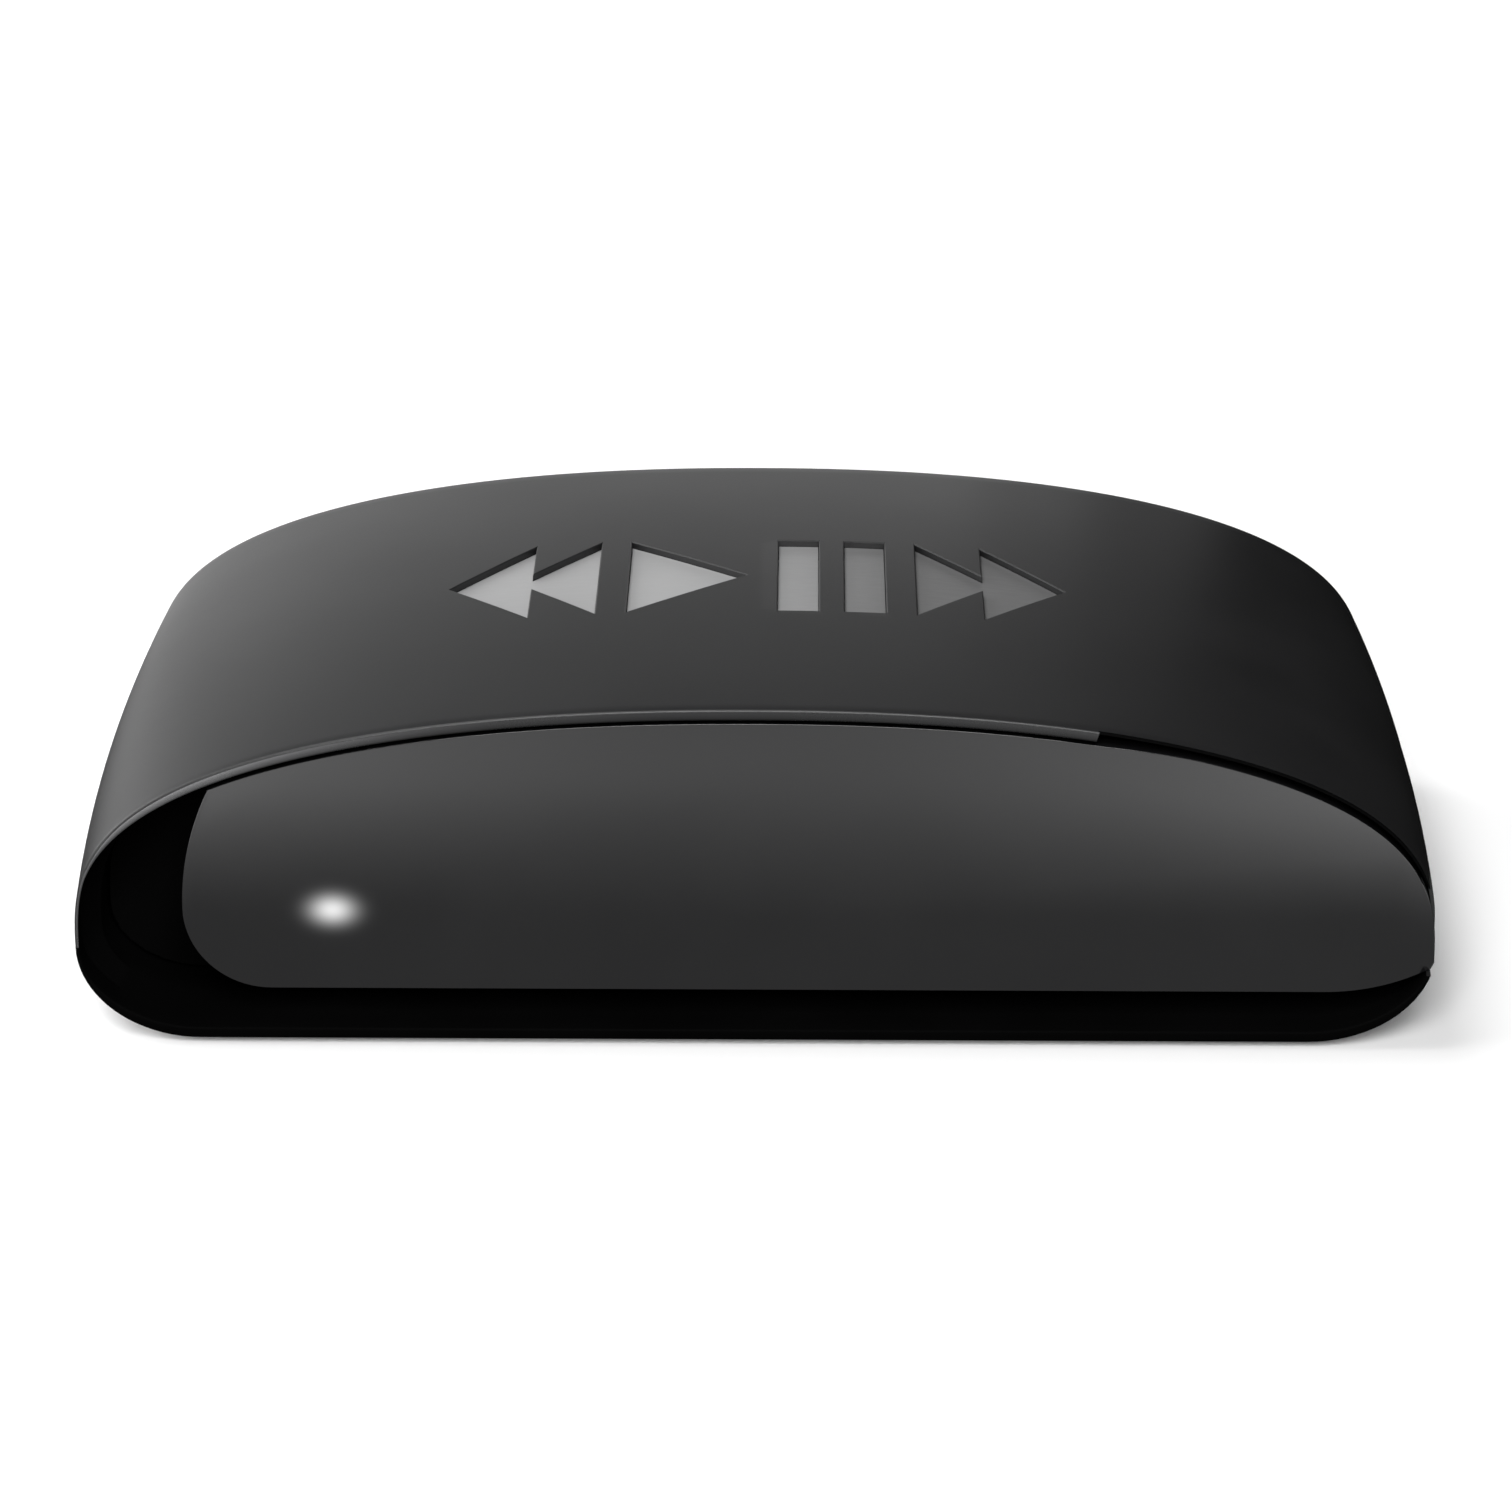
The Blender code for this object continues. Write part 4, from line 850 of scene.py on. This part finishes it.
def panel_outline(left, floor):
    """The window's outline: an arch edge, a leaning left edge, a rounded corner and a rising right end."""

    def edge(turn):
        x, z = arch(turn)
        lift = WINDOW_LIFT * min(1.0, max(0.0, (x - BEVEL_START) / WINDOW_LIFT_RUN))
        z -= WINDOW_DROP - lift
        return x + fullness(x, FRONT, z), z

    def left_edge(z):
        above = max(0.0, z - floor - WINDOW_CORNER)
        return left + above * above / (2 * LEFT_EDGE_RADIUS)

    low, high = 1.0, 2.0
    while high - low > CROSSING_PRECISION:
        middle = (low + high) / 2
        x, z = edge(middle)
        low, high = (middle, high) if x > left_edge(z) else (low, middle)
    tip, _ = corner_with_normal(1, math.asin(1 - WINDOW_TIP / WAIST) * 2 / math.pi)
    tip_x = tip.x + fullness(tip.x, FRONT, tip.y)
    outline = rising_arc(WINDOW_RIGHT_TURN, floor, (tip_x, tip.y)) + [(tip_x, tip.y)]
    steps = [step / ARCH_STEPS for step in range(2 * ARCH_STEPS)]
    outline += [edge(turn) for turn in steps if turn < low - 0.5 / ARCH_STEPS]
    top_z = edge(low)[1]
    for step in range(LEFT_EDGE_STEPS):
        z = top_z + (floor + WINDOW_CORNER - top_z) * step / LEFT_EDGE_STEPS
        outline.append((left_edge(z), z))
    for step in range(CORNER_STEPS + 1):
        angle = math.pi / 2 * step / CORNER_STEPS
        outline.append((
            left + WINDOW_CORNER * (1 - math.cos(angle)),
            floor + WINDOW_CORNER * (1 - math.sin(angle)),
        ))
    return outline


def make_window(material):
    low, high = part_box("front_window")
    outline = [(x, z + BASE) for x, z in panel_outline(low.x, low.z - BASE)]
    window = make_object("window_panel", panel_y(outline, low.y, high.y, WINDOW_ROUNDING), material)
    pipe_low, pipe_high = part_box("light_pipe")
    # Painted glow: the window itself lights up round the light pipe
    add_painted_led_glow(material, (pipe_low + pipe_high) / 2)
    place(window, "housing", "front_window", slot="window")


# Rear side

def make_rear_cover(material):
    low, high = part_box("rear_cover")
    outline = [(x, z) for x, y, z in even_ring(high.y, REAR_LIP + GAP)]
    front = high.y - WALL
    shape = panel_y(outline, front, high.y, COVER_FRONT_ROUNDING, COVER_BACK_ROUNDING)
    cover = make_object("rear_panel", shape, material)
    openings = bmesh.new()
    for name in ("hdmi_shell", "usb_shell"):
        shell_low, shell_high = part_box(name)
        outline = rectangle(shell_low.x - GAP, shell_low.z - GAP, shell_high.x + GAP, shell_high.z + GAP)
        outline = rounded(outline, OPENING_CORNER)
        rings = [
            ring_y(outline, front - MM),
            ring_y(outline, high.y - OPENING_CHAMFER),
            ring_y(shrunk(outline, -OPENING_CHAMFER - CUTTER_REACH), high.y + CUTTER_REACH),
        ]
        loft(rings, shape=openings)
    button_low, button_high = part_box("switch_plunger")
    axis = (button_low + button_high) / 2
    hole = CAP_RADIUS + GAP
    flare = BUTTON_CHAMFER + CUTTER_REACH
    profile = [(hole, front - MM), (hole, high.y - BUTTON_CHAMFER), (hole + flare, high.y + CUTTER_REACH)]
    turned(profile, ROUND_SIDES, "Y", openings, (axis.x, 0.0, axis.z))
    boolean(cover, "DIFFERENCE", openings)
    place(cover, "housing", "rear_cover", slot="frame")


def socket_outline(half_width, height, floor_half_width, chamfer_low, chamfer_high, centre_x, floor):
    """Anticlockwise socket shape that narrows towards its floor."""
    points = [
        (-floor_half_width, 0.0),
        (floor_half_width, 0.0),
        (floor_half_width, chamfer_low),
        (half_width, chamfer_high),
        (half_width, height),
        (-half_width, height),
        (-half_width, chamfer_high),
        (-floor_half_width, chamfer_low),
    ]
    return [(centre_x + x, floor + z) for x, z in points]


def make_socket(name, floor_half_width, chamfers, wall, rounding, finishes):
    """Drawn steel shell with rounded corners, open at the rear."""
    low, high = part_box(f"{name}_shell")
    half_width = (high.x - low.x) / 2
    centre_x = (low.x + high.x) / 2
    sharp = socket_outline(half_width, high.z - low.z, floor_half_width, *chamfers, centre_x, low.z)
    outer = rounded(sharp, rounding + wall / 2)
    inner = rounded(shrunk(sharp, wall), rounding)
    rings = [
        ring_y(shrunk(outer, wall / 3), low.y),
        ring_y(outer, low.y + wall / 3),
        ring_y(outer, high.y - wall / 4),
        ring_y(shrunk(outer, wall / 5), high.y),
        ring_y(shrunk(inner, -wall / 5), high.y),
        ring_y(inner, high.y - wall / 2),
        ring_y(inner, low.y + wall),
    ]
    shell = make_object(f"{name}_socket", loft(rings), finishes["steel"])
    place(shell, "housing", f"{name}_shell", slot="steel")


def make_tongue(name, blade, block_depth, contacts, finishes):
    """Moulded tongue with gold contacts along its blade: blade holds its low and high face over the base."""
    low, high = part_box(f"{name}_tongue")
    blade_low, blade_high = low.z + blade[0], low.z + blade[1]
    rounding = TONGUE_ROUNDING
    body = rounded(rectangle(low.x, low.z, high.x, high.z), rounding)
    shape = panel_y(body, low.y, low.y + block_depth, rounding / 2, rounding / 2)
    tongue = make_object(f"{name}_contact_tongue", shape, finishes["contact_block"])
    thin = rounded(rectangle(low.x, blade_low, high.x, blade_high), rounding)
    boolean(tongue, "UNION", panel_y(thin, low.y + block_depth / 2, high.y, rounding / 2, rounding))
    place(tongue, "housing", f"{name}_tongue", slot="contact_block")

    centre_x = (low.x + high.x) / 2
    strips = bmesh.new()
    for side_low, side_high, count, pitch, width in contacts:
        for number in range(count):
            x = centre_x + pitch * (number - (count - 1) / 2)
            start = (x - width / 2, low.y + block_depth + GAP, blade_low + side_low)
            end = (x + width / 2, high.y - 2 * GAP, blade_low + side_high)
            block(start, end, strips)
    gold = make_object(f"{name}_contacts", strips, finishes["gold"])
    place(gold, "housing", slot="steel")


def make_sockets(finishes):
    make_socket("hdmi", *HDMI_SHELL, finishes)
    make_socket("usb", *USB_SHELL, finishes)
    thickness = 1.15 * MM
    hdmi_contacts = (
        (thickness - CONTACT_SINK, thickness + CONTACT_PROUD, 10, 1.0 * MM, 0.45 * MM),
        (-CONTACT_PROUD, CONTACT_SINK, 9, 1.0 * MM, 0.45 * MM),
    )
    usb_contacts = ((-CONTACT_PROUD, CONTACT_SINK, 5, 0.65 * MM, 0.35 * MM),)
    make_tongue("hdmi", HDMI_BLADE, HDMI_BLOCK_DEPTH, hdmi_contacts, finishes)
    make_tongue("usb", USB_BLADE, USB_BLOCK_DEPTH, usb_contacts, finishes)


def make_reset_button(material):
    """Round cap with a soft edge and a shallow dish, on a flange and a stem."""
    low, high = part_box("reset_button")
    centre = (low + high) / 2
    flange = (high.x - low.x) / 2
    flange_front = low.y + GAP
    flange_back = flange_front + 2 * GAP
    profile = [(STEM_RADIUS, low.y), (STEM_RADIUS, flange_front)]
    profile += [(flange, flange_front), (flange, flange_back), (CAP_RADIUS, flange_back)]
    arc = reversed(edge_arc(CAP_ROUNDING, SOFT_STEPS))
    profile += [(CAP_RADIUS - inward, high.y - along) for along, inward in arc]
    rim = CAP_RADIUS - CAP_ROUNDING
    for step in range(1, SOFT_STEPS):
        share = step / SOFT_STEPS
        profile.append((rim * (1 - share), high.y - CAP_DISH * (1 - (1 - share) ** 2)))
    shape = turned(profile, ROUND_SIDES, "Y", place=(centre.x, 0.0, centre.z))
    button = make_object("reset_cap", shape, material)
    place(button, "button", "reset_button", slot="button")


def make_feet(material):
    """Rubber pads with a soft lower edge and a shallow ring groove."""
    for number in range(1, 5):
        low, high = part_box(f"foot_{number}")
        centre = (low + high) / 2
        radius = (high.x - low.x) / 2
        inner = radius * FOOT_GROOVE_SHARE
        profile = [(inner - 3 * FOOT_GROOVE, 0.0), (inner - 2 * FOOT_GROOVE, FOOT_GROOVE)]
        profile += [(inner - FOOT_GROOVE, FOOT_GROOVE), (inner, 0.0)]
        arc = edge_arc(FOOT_ROUNDING, SOFT_STEPS)
        profile += [(radius - inward, along) for along, inward in arc]
        profile.append((radius, high.z))
        shape = turned(profile, FOOT_SIDES, place=(centre.x, centre.y, low.z))
        pad = make_object(f"foot_pad_{number}", shape, material)
        place(pad, "housing", f"foot_{number}", slot="rubber")


def make_label(material):
    low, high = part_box("rating_label")
    outline = rounded(rectangle(low.x, low.y, high.x, high.y), LABEL_CORNER)
    rings = [
        ring_z(shrunk(outline, LABEL_EDGE), low.z),
        ring_z(outline, low.z + LABEL_EDGE),
        ring_z(outline, high.z),
    ]
    label = make_object("blank_label", loft(rings), material)
    place(label, "housing", "rating_label", slot="label")


# Carried-over CAD nodes

CAD_FINISHES = {
    # The window carrier's near-black finish is painted shade where it shows in the pocket
    "frame": ("window_carrier", "inner_tray"),
    "board": ("main_board",),
    "chip": ("soc_package", "memory_chip", "flash_chip", "wireless_chip", "infrared_receiver", "switch_base"),
    "steel": ("crystal", "shield_frame", "shield_lid", "antenna_left", "antenna_right")
    + tuple(f"board_screw_{number}" for number in range(1, 5)),
    "ferrite": ("power_inductor",),
    "aluminium": ("heat_spreader",) + tuple(f"bulk_capacitor_{number}" for number in range(1, 4)),
    "gap_pad": ("thermal_pad",),
    "contact_block": ("spreader_pin_1", "spreader_pin_2"),
    "clear_plastic": ("light_pipe",),
    "led": ("status_led",),
    "button": ("switch_plunger",),
}
SOFT_EDGED = ("soc_package", "memory_chip", "flash_chip", "wireless_chip", "crystal", "power_inductor",
              "status_led", "shield_lid", "switch_base", "thermal_pad")


def finish_cad_nodes(finishes):
    """New materials for the CAD nodes that stay, and a fine bevel on the block-shaped ones."""
    for slot, names in CAD_FINISHES.items():
        for name in names:
            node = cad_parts[name]
            if not node.material_slots:
                node.data.materials.append(finishes[slot])
            for material_slot in node.material_slots:
                material_slot.material = finishes[slot]
    for name in SOFT_EDGED:
        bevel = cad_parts[name].modifiers.new("soft_edges", "BEVEL")
        bevel.width = NODE_BEVEL
        bevel.segments = 2
        bevel.limit_method = "ANGLE"


# Stage, lights and camera

def camera_only(obj):
    obj.visible_diffuse = False
    obj.visible_glossy = False
    obj.visible_transmission = False
    obj.visible_shadow = False


def stage_material(name, colour, near_glow, far_glow):
    """Pale stage surface whose own glow grows from the middle outwards."""
    material, shader = new_material(name, 0.9, 0.0, 0.1)
    mottled = remap(material, object_noise(material, 3.0), 0.995, 1.0)
    node = add_node(material, "ShaderNodeVectorMath", operation="SCALE")
    node.inputs[0].default_value = colour
    link(material, mottled, node.inputs["Scale"])
    link(material, node.outputs[0], shader.inputs["Base Color"])
    coordinates = add_node(material, "ShaderNodeTexCoord")
    distance = add_node(material, "ShaderNodeVectorMath", operation="LENGTH")
    link(material, coordinates.outputs["Object"], distance.inputs[0])
    glow = remap(material, distance.outputs["Value"], near_glow, far_glow, GLOW_START, GLOW_END)
    shader.inputs["Emission Color"].default_value = (1.0, 1.0, 1.0, 1.0)
    link(material, glow, shader.inputs["Emission Strength"])
    return material


def card_material():
    """Glow of the pale card in front: it grows away from the player, to both sides, and only upwards."""
    material, shader = new_material("card_finish", 0.9, 0.0, 0.0)
    coordinates = add_node(material, "ShaderNodeTexCoord")
    split = add_node(material, "ShaderNodeSeparateXYZ")
    link(material, coordinates.outputs["Object"], split.inputs[0])
    ramp = remap(material, split.outputs["Y"], 0.0, CARD_FAR_GLOW - CARD_NEAR_GLOW, -CARD_NEAR, -CARD_FAR)
    across = math_node(material, "MULTIPLY", split.outputs["X"], 1 / CARD_SPREAD)
    sides = math_node(material, "ADD", math_node(material, "MULTIPLY", across, across), 1.0)
    glow = math_node(material, "ADD", math_node(material, "MULTIPLY", ramp, sides), CARD_NEAR_GLOW)
    geometry = add_node(material, "ShaderNodeNewGeometry")
    facing = math_node(material, "SUBTRACT", 1.0, geometry.outputs["Backfacing"])
    strength = math_node(material, "MULTIPLY", glow, facing)
    shader.inputs["Base Color"].default_value = (0.0, 0.0, 0.0, 1.0)
    shader.inputs["Emission Color"].default_value = (1.0, 1.0, 1.0, 1.0)
    link(material, strength, shader.inputs["Emission Strength"])
    return material


def make_card():
    """Pale card that lies in front of the player, just under the window, and shows only in reflections."""
    shape = bmesh.new()
    loop = rectangle(-CARD_SIDE, -CARD_REACH, CARD_SIDE, -CARD_START)
    shape.faces.new([shape.verts.new((x, y, 0.0)) for x, y in loop])
    mesh = bpy.data.meshes.new("front_card")
    shape.to_mesh(mesh)
    shape.free()
    mesh.materials.append(card_material())
    card = bpy.data.objects.new("front_card", mesh)
    bpy.context.scene.collection.objects.link(card)
    card.location = (0.0, FRONT, CARD_HEIGHT)
    card.visible_camera = False
    card.visible_diffuse = False
    card.visible_transmission = False
    card.visible_shadow = False


def make_stage():
    floor_shape = bmesh.new()
    bmesh.ops.create_grid(floor_shape, x_segments=2, y_segments=2, size=STAGE_REACH)
    floor_finish = stage_material("floor_finish", (0.85, 0.85, 0.85), 0.12, 1.0)
    floor = make_object("studio_floor", floor_shape, floor_finish)
    floor.location.z = -FLOOR_DROP
    wall_shape = bmesh.new()
    bmesh.ops.create_uvsphere(wall_shape, u_segments=48, v_segments=24, radius=WALL_RADIUS)
    wall_finish = stage_material("wall_finish", (0.0, 0.0, 0.0), 1.0, 1.0)
    wall = make_object("studio_wall", wall_shape, wall_finish)
    camera_only(wall)
    floor.visible_glossy = False
    floor.visible_diffuse = False
    make_card()


def aimed(location, target):
    return (Vector(target) - Vector(location)).to_track_quat("-Z", "Y")


def add_area(name, location, target, size, watts):
    data = bpy.data.lights.new(name, "AREA")
    data.shape = "RECTANGLE"
    data.size, data.size_y = size
    data.energy = watts
    light = bpy.data.objects.new(name, data)
    bpy.context.scene.collection.objects.link(light)
    light.location = location
    light.rotation_mode = "QUATERNION"
    light.rotation_quaternion = aimed(location, target)
    light.visible_camera = False


def add_sun(name, direction, strength, degrees):
    data = bpy.data.lights.new(name, "SUN")
    data.energy = strength
    data.angle = math.radians(degrees)
    light = bpy.data.objects.new(name, data)
    bpy.context.scene.collection.objects.link(light)
    light.rotation_mode = "QUATERNION"
    light.rotation_quaternion = aimed(direction, (0.0, 0.0, 0.0))


def make_lights():
    world = bpy.data.worlds.new("studio")
    world.use_nodes = True
    world.node_tree.nodes["Background"].inputs["Color"].default_value = (1.0, 1.0, 1.0, 1.0)
    world.node_tree.nodes["Background"].inputs["Strength"].default_value = 0.0
    bpy.context.scene.world = world
    add_sun("key", KEY_DIRECTION, KEY_STRENGTH, KEY_SPREAD)
    for lamp in LAMPS:
        add_area(*lamp)
    for number, (x, width, watts) in enumerate(BACK_STRIP, 1):
        spot, aim = (x, STRIP_Y, STRIP_Z), (x, 0.0, STRIP_AIM_Z)
        add_area(f"back_strip_{number}", spot, aim, (width, STRIP_HEIGHT), watts)


def make_camera():
    """The camera looks down at the player from the front, turned very slightly to the right."""
    elevation = math.radians(ELEVATION)
    yaw = math.radians(YAW)
    level = math.cos(elevation)
    target = Vector((0.0, 0.0, BASE + HEIGHT / 2))
    back = Vector((math.sin(yaw) * level, -math.cos(yaw) * level, math.sin(elevation)))
    data = bpy.data.cameras.new("camera")
    data.lens = LENS
    data.sensor_width = SENSOR
    data.clip_start = 0.01
    data.clip_end = 20.0
    camera = bpy.data.objects.new("camera", data)
    bpy.context.scene.collection.objects.link(camera)
    camera.location = target + back * DISTANCE
    camera.rotation_mode = "QUATERNION"
    tilt = Quaternion((1.0, 0.0, 0.0), -math.radians(PITCH))
    camera.rotation_quaternion = aimed(camera.location, target) @ tilt
    bpy.context.scene.camera = camera


def main():
    finishes = make_finishes()
    make_sleeve(finishes)
    make_inlay(finishes["inlay"])
    make_window(finishes["window"])
    make_rear_cover(finishes["cover"])
    make_sockets(finishes)
    make_reset_button(finishes["button"])
    make_feet(finishes["rubber"])
    make_label(finishes["label"])
    finish_cad_nodes(finishes)
    make_stage()
    make_lights()
    make_camera()
    bpy.context.scene.view_settings.view_transform = "Standard"
    bpy.context.scene.view_settings.look = "None"


main()
